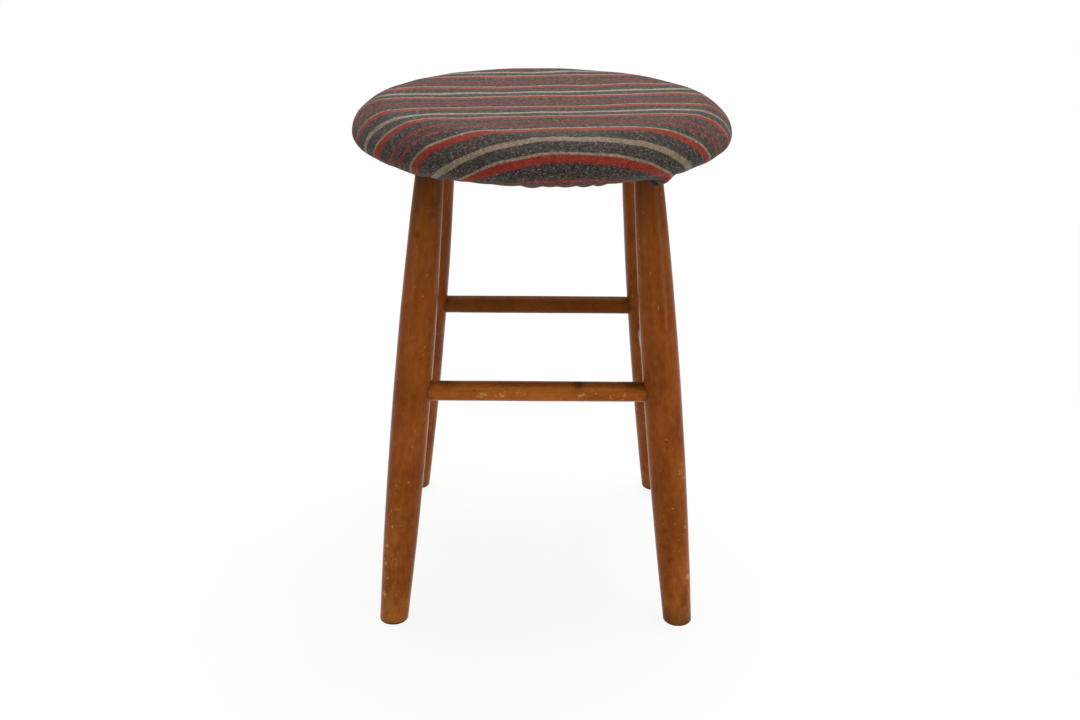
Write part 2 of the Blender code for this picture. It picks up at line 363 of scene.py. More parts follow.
def dark_marks(tree, grain, chipped):
    """Dark specks all over, and finer ones where the wood is chipped."""
    specks = spots(tree, shifted(tree, grain, (0.31, 0.17, 0.53)), (140.0, 140.0, 95.0), 0.17, 0.76)
    rarity = weigh(tree, (chipped, -0.30), start=0.88)
    fine = spots(tree, shifted(tree, grain, (0.77, 0.42, 0.19)), (360.0, 360.0, 260.0), 0.26, rarity)
    return calc(tree, "MAXIMUM", specks, calc(tree, "MULTIPLY", fine, 0.8))


def bare_marks(tree, grain, chipped):
    """Flakes and nicks down to the bare wood, most of them where it is chipped."""
    noise = stretched_noise(tree, grain, (390.0, 390.0, 230.0), 4.0, 0.65)
    flake = between(tree, weigh(tree, (chipped, 0.40), start=noise), 0.87, 0.97)
    rarity = weigh(tree, (chipped, -0.25), start=0.975)
    nicks = spots(tree, grain, (230.0, 230.0, 150.0), 0.20, rarity)
    rarity = weigh(tree, (chipped, -0.60), start=1.045)
    fine = spots(tree, shifted(tree, grain, (0.13, 0.61, 0.37)), (410.0, 410.0, 290.0), 0.30, rarity)
    nicks = calc(tree, "MAXIMUM", nicks, calc(tree, "MULTIPLY", fine, 0.85))
    return calc(tree, "MAXIMUM", flake, nicks)


print("marks in the wood ready")

# %% Stained wood material
# golden rubbed wood; on the front rod it also paints a highlight streak
GOLD_RUB_AND_HIGHLIGHT = (0.312, 0.107, 0.022)
DARK_BLOT = (0.060, 0.019, 0.004)
DARK_SPECK = (0.030, 0.010, 0.003)
BARE_NICK = (0.450, 0.212, 0.055)
# dark grime, also used as painted shade
DARK_GRIME_AND_SHADE = (0.020, 0.009, 0.003)


def stained_wood(title, dark, middle, light):
    material, tree, shader = new_material(title)
    grain = read_attribute(tree, "grain", "Vector")
    rubbed = read_attribute(tree, "rubbed")
    chipped = read_attribute(tree, "chipped")
    grime = read_attribute(tree, "grime")

    streak = stretched_noise(tree, grain, (240.0, 240.0, 6.0), 5.0, 0.6)
    fibre = stretched_noise(tree, grain, (1300.0, 1300.0, 28.0), 3.0, 0.6)
    cloud = stretched_noise(tree, grain, (40.0, 40.0, 17.0), 3.0, 0.5)
    mottle = stretched_noise(
        tree, shifted(tree, grain, (0.9, 1.3, 0.2)), (190.0, 190.0, 120.0), 4.0, 0.6)
    tone = weigh(tree, (streak, 0.15), (fibre, 0.12), (cloud, 0.45), (mottle, 0.28))
    colour = colour_ramp(tree, tone, ((0.34, dark), (0.50, middle), (0.67, light)))

    # golden rub, and on the front rod a painted highlight streak
    worn = stretched_noise(tree, grain, (150.0, 150.0, 60.0), 5.0, 0.65)
    rub_and_highlight_share = between(tree, weigh(tree, (rubbed, 0.55), start=worn), 0.62, 1.00)
    colour = mix_colour(tree, colour, GOLD_RUB_AND_HIGHLIGHT, rub_and_highlight_share, 0.80)
    uneven = stretched_noise(
        tree, shifted(tree, grain, (1.7, 0.4, 0.9)), (85.0, 85.0, 50.0), 4.0, 0.65)
    colour = mix_colour(tree, colour, DARK_BLOT, between(tree, uneven, 0.56, 0.74), 0.38)
    colour = mix_colour(tree, colour, DARK_SPECK, dark_marks(tree, grain, chipped), 0.72)
    bare = bare_marks(tree, grain, chipped)
    colour = mix_colour(tree, colour, BARE_NICK, bare, 0.78)
    # dark grime, and painted shade under the cloth, on the rear left leg and on the rear rod
    colour = mix_colour(tree, colour, DARK_GRIME_AND_SHADE, grime)

    cloudy = calc(tree, "SUBTRACT", cloud, 0.5)
    wire(tree, shader, {
        "Base Color": colour,
        "Roughness": weigh(tree, (rub_and_highlight_share, 0.05), (cloudy, 0.25), (grime, 0.30), start=0.19),
        "Specular IOR Level": 0.07,
        "Specular Tint": (1.0, 0.66, 0.36)})
    emboss(tree, shader, weigh(tree, (mottle, 0.6), (fibre, 0.30), (bare, -0.8)), 0.35, 0.0005)
    return material


LEG_WOOD = stained_wood(
    "leg_wood", (0.126, 0.0290, 0.0040), (0.205, 0.0525, 0.0079), (0.289, 0.0815, 0.0130))
ROD_WOOD = stained_wood(
    "rod_wood", (0.133, 0.0315, 0.0042), (0.256, 0.0657, 0.0095), (0.380, 0.1090, 0.0172))
print("stained wood ready:", LEG_WOOD.name, "and", ROD_WOOD.name)

# %% [markdown]
# ## A tree for turned wood
#
# Legs and rods both come off a lathe, so their shape follows one rule: a radius that swells in
# the middle and falls off as a parabola to each end. They could be bevelled curves, but a curve
# cuts its ends square to its line, and these feet are cut level on a leaning leg. So the tree
# starts from a cylinder and moves its points: along the axis, with more rings near the ends, and
# outwards along two given directions, which keeps every slice level.

# %% Radius of turned wood
def turned_radius(tree, given, along, length):
    """The radius along the wood: a parabola to each end, and a rounded edge at both."""
    belly = given["Middle Share"]
    before = calc(tree, "DIVIDE", calc(tree, "SUBTRACT", belly, along), belly)
    after = calc(tree, "SUBTRACT", along, belly)
    after = calc(tree, "DIVIDE", after, calc(tree, "SUBTRACT", 1.0, belly))
    radius = given["Middle Radius"]
    for share, end in ((before, "Start Radius"), (after, "End Radius")):
        share = calc(tree, "MAXIMUM", share, 0.0)
        drop = calc(tree, "SUBTRACT", given["Middle Radius"], given[end])
        fall = calc(tree, "MULTIPLY", calc(tree, "MULTIPLY", share, share), drop)
        radius = calc(tree, "SUBTRACT", radius, fall)

    from_end = calc(tree, "SUBTRACT", 1.0, along)
    for share, rounding in ((along, "Start Ease"), (from_end, "End Ease")):
        depth = calc(tree, "DIVIDE", calc(tree, "MULTIPLY", share, length), given[rounding])
        left = calc(tree, "MAXIMUM", calc(tree, "SUBTRACT", 1.0, depth), 0.0)
        arc = calc(tree, "SQRT", calc(tree, "SUBTRACT", 1.0, calc(tree, "MULTIPLY", left, left)))
        cut = calc(tree, "MULTIPLY", calc(tree, "SUBTRACT", 1.0, arc), given[rounding])
        radius = calc(tree, "SUBTRACT", radius, cut)
    return radius


print("radius rule ready")

# %% Turned wood tree
def make_turning_tree():
    tree, given, keys = new_tree("turned_wood", {
        "Start": "Vector", "End": "Vector", "Across": "Vector", "Upright": "Vector",
        "Start Radius": "Float", "Middle Radius": "Float", "End Radius": "Float",
        "Middle Share": "Float", "Start Ease": "Float", "End Ease": "Float",
        "Waver": "Float", "Sides": "Int", "Rings": "Int", "Wood": "Material",
    })
    blank = add_node(tree, "GeometryNodeMeshCylinder", {
        "Vertices": given["Sides"], "Side Segments": given["Rings"], "Radius": 1.0, "Depth": 1.0,
    }, fill_type="NGON")
    spot = add_node(tree, "GeometryNodeInputPosition").outputs[0]
    x, y, z = add_node(tree, "ShaderNodeSeparateXYZ", {0: spot}).outputs
    even = calc(tree, "ADD", z, 0.5)
    wave = calc(tree, "COSINE", calc(tree, "MULTIPLY", even, math.pi))
    crowd = weigh(tree, (wave, -0.5), start=0.5)
    along = weigh(tree, (even, 0.15), (crowd, 0.85))

    line = vector_calc(tree, "SUBTRACT", given["End"], given["Start"])
    radius = turned_radius(tree, given, along, vector_length(tree, line))
    near = vector_calc(tree, "MULTIPLY", spot, (0.7, 0.7, 9.0))
    own = vector_calc(tree, "MULTIPLY", given["Start"], (31.0, 47.0, 11.0))
    noise = add_node(tree, "ShaderNodeTexNoise", {
        "Vector": vector_calc(tree, "ADD", near, own), "Scale": 1.0, "Detail": 2.0})
    uneven = calc(tree, "SUBTRACT", noise.outputs["Fac"], 0.5)
    radius = weigh(tree, (uneven, given["Waver"]), start=radius)
    moved = vector_calc(tree, "ADD", given["Start"], scaled(tree, line, along))
    for side, way in ((x, "Across"), (y, "Upright")):
        out = scaled(tree, given[way], calc(tree, "MULTIPLY", side, radius))
        moved = vector_calc(tree, "ADD", moved, out)
    turned = add_node(tree, "GeometryNodeSetPosition", {
        "Geometry": blank.outputs["Mesh"], "Position": moved})
    end_tree(tree, turned.outputs[0], given["Wood"])
    return tree, keys


TURNING, TURNING_KEYS = make_turning_tree()
print("turned wood tree:", len(TURNING.nodes), "nodes")

# %% [markdown]
# ## Rods
#
# Four straight round rods tie the legs together, the side pair a little lower than the front and
# rear pair so that their sockets miss each other. They are real dowels: a hair slimmer towards
# their ends, and eased where they enter the legs. The turned wood tree makes all four.

# %% Rods
ROD_SIDES = ("front", "rear", "left", "right")
ROD_SWELL = 0.0001


def rod_line(side):
    """Start and end point of a rod, and the names of the two legs that it joins."""
    if side in ("front", "rear"):
        height, along = FRONT_ROD_HEIGHT, Vector((1.0, 0.0, 0.0))
        legs = (side + "_left", side + "_right")
    else:
        height, along = SIDE_ROD_HEIGHT, Vector((0.0, 1.0, 0.0))
        legs = ("front_" + side, "rear_" + side)
    start = leg_axis(LEG_WAYS[legs[0]], height) - along * ROD_BEYOND_AXIS
    end = leg_axis(LEG_WAYS[legs[1]], height) + along * ROD_BEYOND_AXIS
    return start, end, legs


RODS = {}
for side in ROD_SIDES:
    start, end, _ = rod_line(side)
    rod = grow(side + "_rod", TURNING, TURNING_KEYS, {
        "Start": start, "End": end,
        "Across": (end - start).normalized().cross(UP), "Upright": UP,
        "Start Radius": ROD_RADIUS - ROD_SWELL, "Middle Radius": ROD_RADIUS + ROD_SWELL,
        "End Radius": ROD_RADIUS - ROD_SWELL, "Middle Share": 0.5, "Start Ease": 0.0008,
        "End Ease": 0.0008, "Waver": 0.0003, "Sides": 48, "Rings": 260, "Wood": ROD_WOOD})
    smooth(rod)
    RODS[side] = rod
    print(rod.name, "from", np.round(start, 4).tolist(), "to", np.round(end, 4).tolist())

# %% [markdown]
# The front rod is the footrest. It is rubbed golden along its upper front, and a narrow golden
# streak along its upper third is a painted highlight. The stain is knocked off by heels in places,
# and there are a few dark stains on top. The rear rod is painted darker all over, as painted shade
# of the seat above it. Around each end there is a thin pale line on the rod and a dark crack beside
# it. All of this follows from where a point lies, so it is written as attributes and not painted by
# hand.

# %% Marks on the rods
# how much each rod is rubbed and carries the painted highlight streak; it also scales the chips
RUB_AND_HIGHLIGHT = {"front": 1.0, "rear": 0.15, "left": 0.60, "right": 0.60}
# dirt of each rod; the rear rod's share is painted shade of the seat above it
ROD_DIRT_AND_SHADE = {"front": 0.03, "rear": 0.60, "left": 0.03, "right": 0.03}
# places along the front rod where heels knocked the stain off: from the middle, and half length
FRONT_KNOCKS = ((-0.048, 0.010), (-0.031, 0.011), (-0.015, 0.008), (0.038, 0.007),
                (0.048, 0.007), (0.064, 0.005), (0.077, 0.004))
# dark stains on top of the front rod: from the middle, half length and strength
FRONT_STAINS = ((0.036, 0.0045, 0.85), (0.087, 0.010, 0.70), (-0.079, 0.006, 0.40))


def off_axis(spot, way):
    """Where each point lies, in X and Y, from the axis of a leg at its own height."""
    return spot[:, :2] - leg_spread(spot[:, 2])[:, None] * np.array(way)


def leg_distance(spot, way):
    """How far each point lies outside the surface of a leg, slice by slice."""
    return np.linalg.norm(off_axis(spot, way), axis=1) - leg_radius(spot[:, 2])


print("front rod:", len(FRONT_KNOCKS), "knocks and", len(FRONT_STAINS), "stains")

# %% Wear of the rods
RUB_AND_HIGHLIGHT_WAY = (0.60, 0.80)        # the side of a rod that feet rub, where the painted highlight streak also lies, as parts upwards and outwards
KNOCKED_WAY = (0.087, 0.996)     # the side that heels knock
RUB_FROM_LEG = 0.02              # nearer to a leg than this a rod is rubbed less, with less painted highlight
PALE_LINE_FROM_LEG = 0.0008
PALE_LINE_HALF = 0.0005

for order, (side, rod) in enumerate(RODS.items()):
    start, end, legs = rod_line(side)
    line = (end - start).normalized()
    spot = points_of(rod)
    away = spot - np.array(start)
    along = away @ np.array(line)
    sideways = away @ np.array(line.cross(UP))
    upwards = away[:, 2]
    write_attribute(rod, "grain", np.stack([
        sideways + 0.031 + 0.21 * order, upwards - 0.043 + 0.017 * order, along + 0.7 * order], axis=1))

    proud = np.min([leg_distance(spot, LEG_WAYS[leg]) for leg in legs], axis=0)
    free = np.clip(proud / RUB_FROM_LEG, 0.0, 1.0)
    outward = sideways if side in ("front", "right") else -sideways
    rubbed, knocked = [np.clip((up * upwards + out * outward) / ROD_RADIUS, 0.0, 1.0)
                       for up, out in (RUB_AND_HIGHLIGHT_WAY, KNOCKED_WAY)]
    # a broad golden rub on the upper front, and a narrow golden streak that is a painted highlight
    write_attribute(rod, "rubbed", RUB_AND_HIGHLIGHT[side] * (0.18 * rubbed ** 3 + 0.85 * rubbed ** 90) * free)
    chips = np.full(len(spot), 0.08 * RUB_AND_HIGHLIGHT[side])
    # a little dirt on every rod, and painted shade over the whole rear rod
    dirt_and_shade = np.full(len(spot), ROD_DIRT_AND_SHADE[side])
    if side == "front":
        from_middle = along - 0.5 * (end - start).length
        on_top = np.clip(upwards / ROD_RADIUS, 0.0, 1.0) ** 1.5
        for place, half in FRONT_KNOCKS:
            chips = np.maximum(chips, bell(from_middle - place, half))
        for place, half, amount in FRONT_STAINS:
            dirt_and_shade = np.maximum(dirt_and_shade, amount * on_top * bell(from_middle - place, half))
    # a thin pale line on the rod beside each leg
    pale_line = 0.9 * bell(proud - PALE_LINE_FROM_LEG, PALE_LINE_HALF)
    write_attribute(rod, "chipped", np.maximum(chips * knocked ** 3 * free, pale_line))
    crack = 0.60 * (proud < 0.0002) + 0.22 * np.exp(-np.maximum(proud - 0.0014, 0.0) / 0.0020)
    write_attribute(rod, "grime", np.maximum(dirt_and_shade, crack * (1.0 - pale_line)))
    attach(rod, "root")
    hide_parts(side + "_stretcher")
print("wear written on", len(RODS), "rods")

# %% [markdown]
# ## Legs
#
# Each leg is fullest just under half way up, slimmer at the seat and at the foot, and cut level on
# the floor with a worn, rounded edge. Its tenon runs up into the board and is split by a wedge, and
# two rods end in sockets in its inner sides. The tenon is joined on and the sockets and the slot for
# the wedge are cut with exact Booleans. The wood attributes are written after that, from each
# point's place, so that the new faces have them too.

# %% Solids for the joints
def plain_solid(name, rings):
    """A throw-away closed solid from rings of equal count, for a Boolean step."""
    count = len(rings[0])
    faces = [tuple(range(count - 1, -1, -1))]
    for row in range(len(rings) - 1):
        for column in range(count):
            after = (column + 1) % count
            faces.append((row * count + column, row * count + after,
                          (row + 1) * count + after, (row + 1) * count + column))
    faces.append(tuple(range((len(rings) - 1) * count, len(rings) * count)))
    return mesh_object(name, [tuple(spot) for ring in rings for spot in ring], faces)


def tube(name, start, end, radius, side, up, count=40):
    ring = [side * (radius * math.cos(turn)) + up * (radius * math.sin(turn))
            for turn in even_turns(count)]
    return plain_solid(name, [[start + out for out in ring], [end + out for out in ring]])


def carve(piece, tools):
    """Apply exact Booleans in turn and keep the result as a plain mesh."""
    for tool, operation in tools:
        step = piece.modifiers.new(tool.name, "BOOLEAN")
        step.operation = operation
        step.solver = "EXACT"
        step.object = tool
    name = piece.name
    piece.name = name + "_blank"
    carved = keep_result(name, piece)
    for tool, _ in tools:
        bpy.data.objects.remove(tool, do_unlink=True)
    return carved


print("joint solids ready")

# %% Legs
STRETCH = math.hypot(1.0, math.sqrt(2.0) * LEAN)  # a level slice of a leaning leg is this much longer
TENON_ROOT = 0.004               # how far the tenon reaches down into the leg
SLOT_HALF_LENGTH = 0.018
# the slot for a wedge: height from the board's top, and half width there
SLOT_SLICES = ((-0.0153, 0.0007), (0.004, 0.0022))


def wedge_slot(way):
    rings = []
    for rise, half in SLOT_SLICES:
        middle = leg_axis(way, BOARD_TOP + rise)
        rings.append([middle + Vector((half * a, SLOT_HALF_LENGTH * b, 0.0))
                      for a, b in ((-1, -1), (1, -1), (1, 1), (-1, 1))])
    return plain_solid("wedge_slot", rings)


LEGS = {}
for name, way in LEG_WAYS.items():
    lean_way = Vector((way[0], way[1], 0.0)).normalized()
    beside = UP.cross(lean_way)
    leg = grow(name + "_turned_leg", TURNING, TURNING_KEYS, {
        "Start": leg_axis(way, 0.0), "End": leg_axis(way, LEG_TOP),
        "Across": lean_way * STRETCH, "Upright": beside,
        "Start Radius": LEG_FOOT, "Middle Radius": LEG_BELLY, "End Radius": LEG_SHOULDER,
        "Middle Share": BELLY_SHARE, "Start Ease": 0.0015, "End Ease": 0.0005,
        "Waver": 0.0005, "Sides": 64, "Rings": 220, "Wood": LEG_WOOD})
    tools = [(tube("tenon", leg_axis(way, LEG_TOP - TENON_ROOT), leg_axis(way, BOARD_TOP - FIT),
                   TENON_RADIUS, lean_way * STRETCH, beside), "UNION")]
    for side in ROD_SIDES:
        start, end, joined = rod_line(side)
        if name in joined:
            line = (end - start).normalized()
            tools.append((tube("socket_" + side, start - line * FIT, end + line * FIT,
                               ROD_RADIUS + FIT, line.cross(UP), UP), "DIFFERENCE"))
    tools.append((wedge_slot(way), "DIFFERENCE"))
    leg = carve(leg, tools)
    smooth(leg)
    LEGS[name] = leg
    print(leg.name, len(leg.data.polygons), "faces")

# %% [markdown]
# The wear of a leg is not even. Dirt gathers where a rod meets it, and the very bottom edge of the
# foot is darker. Right under the cloth each leg is painted darker, as painted shade of the seat, and
# the rear left leg is painted darker over its upper half, as painted shade. The lowest hand's breadth
# has been kicked and mopped until the stain went golden, and the outer sides are rubbed more than
# the inner ones. The front legs also have single knocks, where the stain is chipped, and a few dark
# smudges.

# %% Marks on the legs
# marks on the front of a leg: height, place across with 1 at the outer edge, and reach
LEG_KNOCKS = {
    "front_left": ((0.117, 0.20, 0.0024), (0.1005, 0.50, 0.0026), (0.079, 0.75, 0.0040),
                   (0.060, 0.80, 0.0045), (0.030, 0.70, 0.0060)),
    "front_right": ((0.154, 0.60, 0.0042), (0.147, 0.85, 0.0032), (0.151, 0.12, 0.0024),
                    (0.120, 0.10, 0.0024), (0.1005, 0.75, 0.0042), (0.048, 0.80, 0.0060)),
}
LEG_SMUDGES = {
    "front_left": ((0.110, -0.10, 0.0018), (0.1085, -0.30, 0.0014), (0.081, 0.05, 0.0022),
                   (0.078, 0.25, 0.0016), (0.056, 0.50, 0.0024), (0.0545, 0.20, 0.0018),
                   (0.393, -0.55, 0.0036), (0.384, -0.50, 0.0030), (0.367, 0.42, 0.0032)),
    "front_right": ((0.165, -0.10, 0.0020), (0.166, -0.25, 0.0016), (0.097, -0.40, 0.0022),
                    (0.068, -0.33, 0.0022), (0.070, -0.15, 0.0014)),
}
# dirt and painted shade of a leg: painted shade right under the cloth, dirt on the foot, and painted
# shade all over its upper half
LEG_DIRT_AND_SHADE = {
    "front_left": (0.76, 0.0, 0.0),
    "front_right": (0.66, 0.50, 0.0),
    "rear_left": (0.66, 0.20, 0.34),
    "rear_right": (0.66, 0.20, 0.0),
}


def near_marks(spot, way, marks):
    """How near each point of a leg lies to the closest mark, from 0 to 1."""
    near = np.zeros(len(spot))
    for height, share, reach in marks:
        out = np.array([share * way[0], -math.sqrt(1.0 - share ** 2), 0.0])
        middle = np.array(leg_axis(way, height)) + leg_radius(height) * out
        near = np.maximum(near, bell(np.linalg.norm(spot - middle, axis=1), reach))
    return near


def rod_distance(spot, side):
    """How far each point lies outside the surface of a rod."""
    start, end, _ = rod_line(side)
    line = np.array((end - start).normalized())
    away = spot - np.array(start)
    along = away @ line
    beside = np.linalg.norm(away - np.outer(along, line), axis=1)
    beyond = np.abs(along - np.clip(along, 0.0, (end - start).length))
    return beside - ROD_RADIUS + beyond


print("front legs:", sum(len(marks) for marks in (*LEG_KNOCKS.values(), *LEG_SMUDGES.values())), "marks")

# %% Wear of the legs
LOW_PART = 0.16                  # wear grows from this height down to the floor
FOOT_PART = 0.035
KICKED_AT, KICKED_HALF = 0.085, 0.055
DARK_FROM = 0.297                # the painted shade under the cloth begins at this height

for order, (name, leg) in enumerate(LEGS.items()):
    way = LEG_WAYS[name]
    spot = points_of(leg)
    level = spot[:, 2]
    local = off_axis(spot, way)
    write_attribute(leg, "grain", np.stack([
        local[:, 0] + 0.052 + 0.13 * order, local[:, 1] - 0.021 - 0.17 * order,
        level * STRETCH + 0.9 * order], axis=1))

    outer_corner = np.clip(local @ np.array(way) / (math.sqrt(2.0) * leg_radius(level)), 0.0, 1.0)
    outer_side = np.clip(local[:, 0] * way[0] / leg_radius(level), 0.0, 1.0)
    low = np.clip(1.0 - level / LOW_PART, 0.0, 1.0)
    foot = np.clip(1.0 - level / FOOT_PART, 0.0, 1.0)
    write_attribute(leg, "rubbed", np.clip(
        0.08 + 0.24 * low + 0.55 * foot + 0.16 * low * outer_corner, 0.0, 1.0))
    kicked = bell(level - KICKED_AT, KICKED_HALF)
    chips = 0.10 + 0.60 * kicked * outer_side ** 1.5 + 0.15 * foot
    knocks = 1.3 * near_marks(spot, way, LEG_KNOCKS.get(name, ()))
    write_attribute(leg, "chipped", np.maximum(chips, knocks))

    top_shade, foot_dirt, upper_shade = LEG_DIRT_AND_SHADE[name]
    near_rod = np.maximum(np.min([rod_distance(spot, side) for side in ROD_SIDES], axis=0), 0.0)
    under_seat = np.clip((level - DARK_FROM) / (LEG_TOP - DARK_FROM), 0.0, 1.0) ** 1.5
    # a dark line at rod joints, a dark band at the foot's bottom edge, painted shade under the cloth,
    # dirt on the foot, and painted shade over the upper half
    grime = np.max([
        0.50 * np.exp(-near_rod / 0.0010),
        0.94 * bell(level, 0.0023, 4),
        top_shade * under_seat,
        foot_dirt * bell(level, 0.018),
        upper_shade * ease(level, 0.20, 0.30)], axis=0)
    smudge = 0.46 * near_marks(spot, way, LEG_SMUDGES.get(name, ()))
    write_attribute(leg, "grime", grime + (1.0 - grime) * smudge)
    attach(leg, "root")
    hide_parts(name + "_leg")
print("wear written on", len(LEGS), "legs")

# %% [markdown]
# ## Bare wood inside the seat
#
# The board and the wedges stay as their solids. The board shows only from below, inside the ring
# of turned-under cloth: pale unfinished softwood with clear growth lines. Its grain runs along X, so
# the material stretches its noise on Object coordinates that way.

# %% Bare wood
DUST = (0.20, 0.15, 0.10)


def bare_wood(title, pale, deep, scale):
    material, tree, shader = new_material(title)
    place = object_place(tree)
    growth = add_node(tree, "ShaderNodeTexWave", {
        "Vector": vector_calc(tree, "MULTIPLY", place, (0.09, 1.0, 1.0)),
        "Scale": scale, "Distortion": 5.0, "Detail": 3.0, "Detail Scale": 1.4,
    }, wave_type="BANDS", bands_direction="Y", wave_profile="SAW").outputs["Fac"]
    fibre = stretched_noise(tree, place, (40.0, 900.0, 900.0), 4.0, 0.6)
    dust = stretched_noise(tree, place, (30.0, 30.0, 30.0), 4.0, 0.6)
    share = weigh(tree, (growth, 0.55), (fibre, 0.45))
    colour = mix_colour(tree, pale, deep, share)
    colour = mix_colour(tree, colour, DUST, dust, 0.35, "MULTIPLY")
    wire(tree, shader, {"Base Color": colour, "Roughness": 0.72})
    emboss(tree, shader, share, 0.3, 0.0005)
    return material


def repaint(node, material):
    for slot in node.material_slots:
        slot.link = "OBJECT"
        slot.material = material


BOARD_WOOD = bare_wood("board_wood", (0.56, 0.40, 0.23), (0.37, 0.22, 0.10), 26.0)
WEDGE_WOOD = bare_wood("wedge_wood", (0.47, 0.33, 0.18), (0.34, 0.21, 0.10), 60.0)
repaint(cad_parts["seat_board"], BOARD_WOOD)
for name in LEG_WAYS:
    repaint(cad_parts[name + "_wedge"], WEDGE_WOOD)
print("bare wood on the board and", len(LEG_WAYS), "wedges")

# %% [markdown]
# ## The seat's outline
#
# The padded seat is round, with a flat top that years of use have pressed a little hollow, a tight
# shoulder, and a lower edge that turns under the board. Cut through the middle, the shoulder is a
# superellipse, flatter at the rear than at the front. The same outline serves the cloth and, drawn
# in by the cloth's thickness, the stuffing. It sits a few millimetres to the right on the board.

# %% Seat outline
SEAT_RADIUS = 0.1703
CROWN_HEIGHT = 0.4672
HEM_BOTTOM = 0.4217
WAIST_HEIGHT = 0.4338            # where the seat is widest
TURN_RADIUS = 0.1507             # where the turn below the waist has become level
SHOULDER_FRONT = 6.6             # powers of the superellipse
SHOULDER_REAR = 8.2
TURN_POWER = 1.8
HOLLOW = 0.0050
HOLLOW_RADIUS = 0.1462
HOLLOW_POWER = 4.9
SEAT_SHIFT = 0.0027
CROWN_ROWS = np.concatenate([
    np.linspace(0.0, 0.76, 16)[:-1], 1.0 - 0.24 * np.linspace(1.0, 0.0, 24) ** 2])
UNDER_ROWS = np.linspace(0.0, 0.5 * math.pi, 16)[1:]


def seat_outline(turn):
    """Radius and height of the seat's skin, crown to hem turn, for each angle from the front."""
    frontness = 0.5 * (1.0 + np.cos(turn))[None, :]
    power = SHOULDER_REAR + (SHOULDER_FRONT - SHOULDER_REAR) * frontness
    share = CROWN_ROWS[:, None]
    radius = np.repeat(SEAT_RADIUS * share, len(turn), axis=1)
    rise = np.sqrt(np.maximum(0.0, 1.0 - share ** power))
    height = WAIST_HEIGHT + (CROWN_HEIGHT - WAIST_HEIGHT) * rise
    height -= HOLLOW * np.maximum(0.0, 1.0 - (radius / HOLLOW_RADIUS) ** HOLLOW_POWER)

    across = np.maximum(0.0, np.cos(UNDER_ROWS)) ** (2.0 / TURN_POWER)
    under_radius = TURN_RADIUS + (SEAT_RADIUS - TURN_RADIUS) * across
    under_height = WAIST_HEIGHT - (WAIST_HEIGHT - HEM_BOTTOM) * np.sin(UNDER_ROWS) ** (2.0 / TURN_POWER)
    return (np.vstack([radius, np.repeat(under_radius[:, None], len(turn), axis=1)]),
            np.vstack([height, np.repeat(under_height[:, None], len(turn), axis=1)]))


def outline_normals(radius, height):
    """Outward direction of the outline, as radial and upward parts."""
    along_r = np.gradient(radius, axis=0)
    along_z = np.gradient(height, axis=0)
    size = np.maximum(np.hypot(along_r, along_z), 1e-9)
    return -along_z / size, along_r / size


def seat_rows(turn, radius, height, shift=SEAT_SHIFT):
    """Points (row, column, 3) of rings round the seat; the first column faces the front."""
    return np.stack([radius * np.sin(turn) + shift, -radius * np.cos(turn), height], axis=2)


print("seat outline:", len(CROWN_ROWS), "rows of crown and", len(UNDER_ROWS), "rows of turn")

# %% [markdown]
# ## Stuffing
#
# Under the cloth lies a pad of teased fibre that rounds the board's edge. Nothing of it shows, but it
# carries the cloth, so it is a real closed piece: the seat's outline drawn in by the cloth, hollow
# below where it sits on the board and hugs its edge. A soft lumpiness keeps it from being a plain
# lathe shape.

# %% Stuffing pad
PAD_INSET = 0.0024
PAD_COLUMNS = 144
PAD_LUMPS = 0.0003
PAD_SKIRT = BOARD_BOTTOM + 0.006  # how far down the pad hugs the board's edge
PAD_WALL = 0.1573                # radius of the hollow that the board fills
PAD_SEAT = BOARD_TOP + FIT


def wander(turn, waves, seed):
    """A smooth random curve round the seat, about 1 high: sines of whole counts, so it closes."""
    draw = np.random.default_rng(seed)
    total = np.zeros_like(turn)
    for count in waves:
        total += draw.normal() * np.sin(count * turn + draw.uniform(0.0, 2.0 * math.pi))
    return total / math.sqrt(len(waves))


def ring_mesh(name, pole, rows, last_pole):
    """A closed mesh of rings between two poles; rows is (row, column, 3)."""
    count = rows.shape[1]
    last = 1 + (len(rows) - 1) * count
    faces = [(0, 1 + c, 1 + (c + 1) % count) for c in range(count)]
    for base in range(1, last, count):
        for c in range(count):
            after = (c + 1) % count
            faces.append((base + c, base + count + c, base + count + after, base + after))
    faces += [(last + c, last + count, last + (c + 1) % count) for c in range(count)]
    return mesh_object(name, np.vstack([pole, rows.reshape(-1, 3), last_pole]).tolist(), faces)


turn = even_turns(PAD_COLUMNS)
radius, height = seat_outline(turn)
out_r, out_z = outline_normals(radius, height)
lumps = np.stack([wander(turn, range(3, 11), 40 + row // 4) for row in range(len(radius))])
inset = PAD_INSET + PAD_LUMPS * np.abs(lumps)
radius = radius - inset * out_r
height = height - inset * out_z
keep = height.min(axis=1) > PAD_SKIRT
radius = np.vstack([radius[keep], radius[keep][-1]])
height = np.vstack([height[keep], np.full(PAD_COLUMNS, PAD_SKIRT)])
inside = ((PAD_WALL, PAD_SKIRT), (PAD_WALL, PAD_SEAT), (0.5 * PAD_WALL, PAD_SEAT))
for wall, level in inside:
    radius = np.vstack([radius, np.full(PAD_COLUMNS, wall)])
    height = np.vstack([height, np.full(PAD_COLUMNS, level)])
shift = np.full((len(radius), 1), SEAT_SHIFT)
shift[-len(inside):] = 0.0
rows = seat_rows(turn, radius, height, shift)
pad = ring_mesh("seat_stuffing", rows[0].mean(axis=0), rows[1:], (0.0, 0.0, PAD_SEAT))
smooth(pad, 55.0)
print("stuffing pad:", len(pad.data.polygons), "faces")

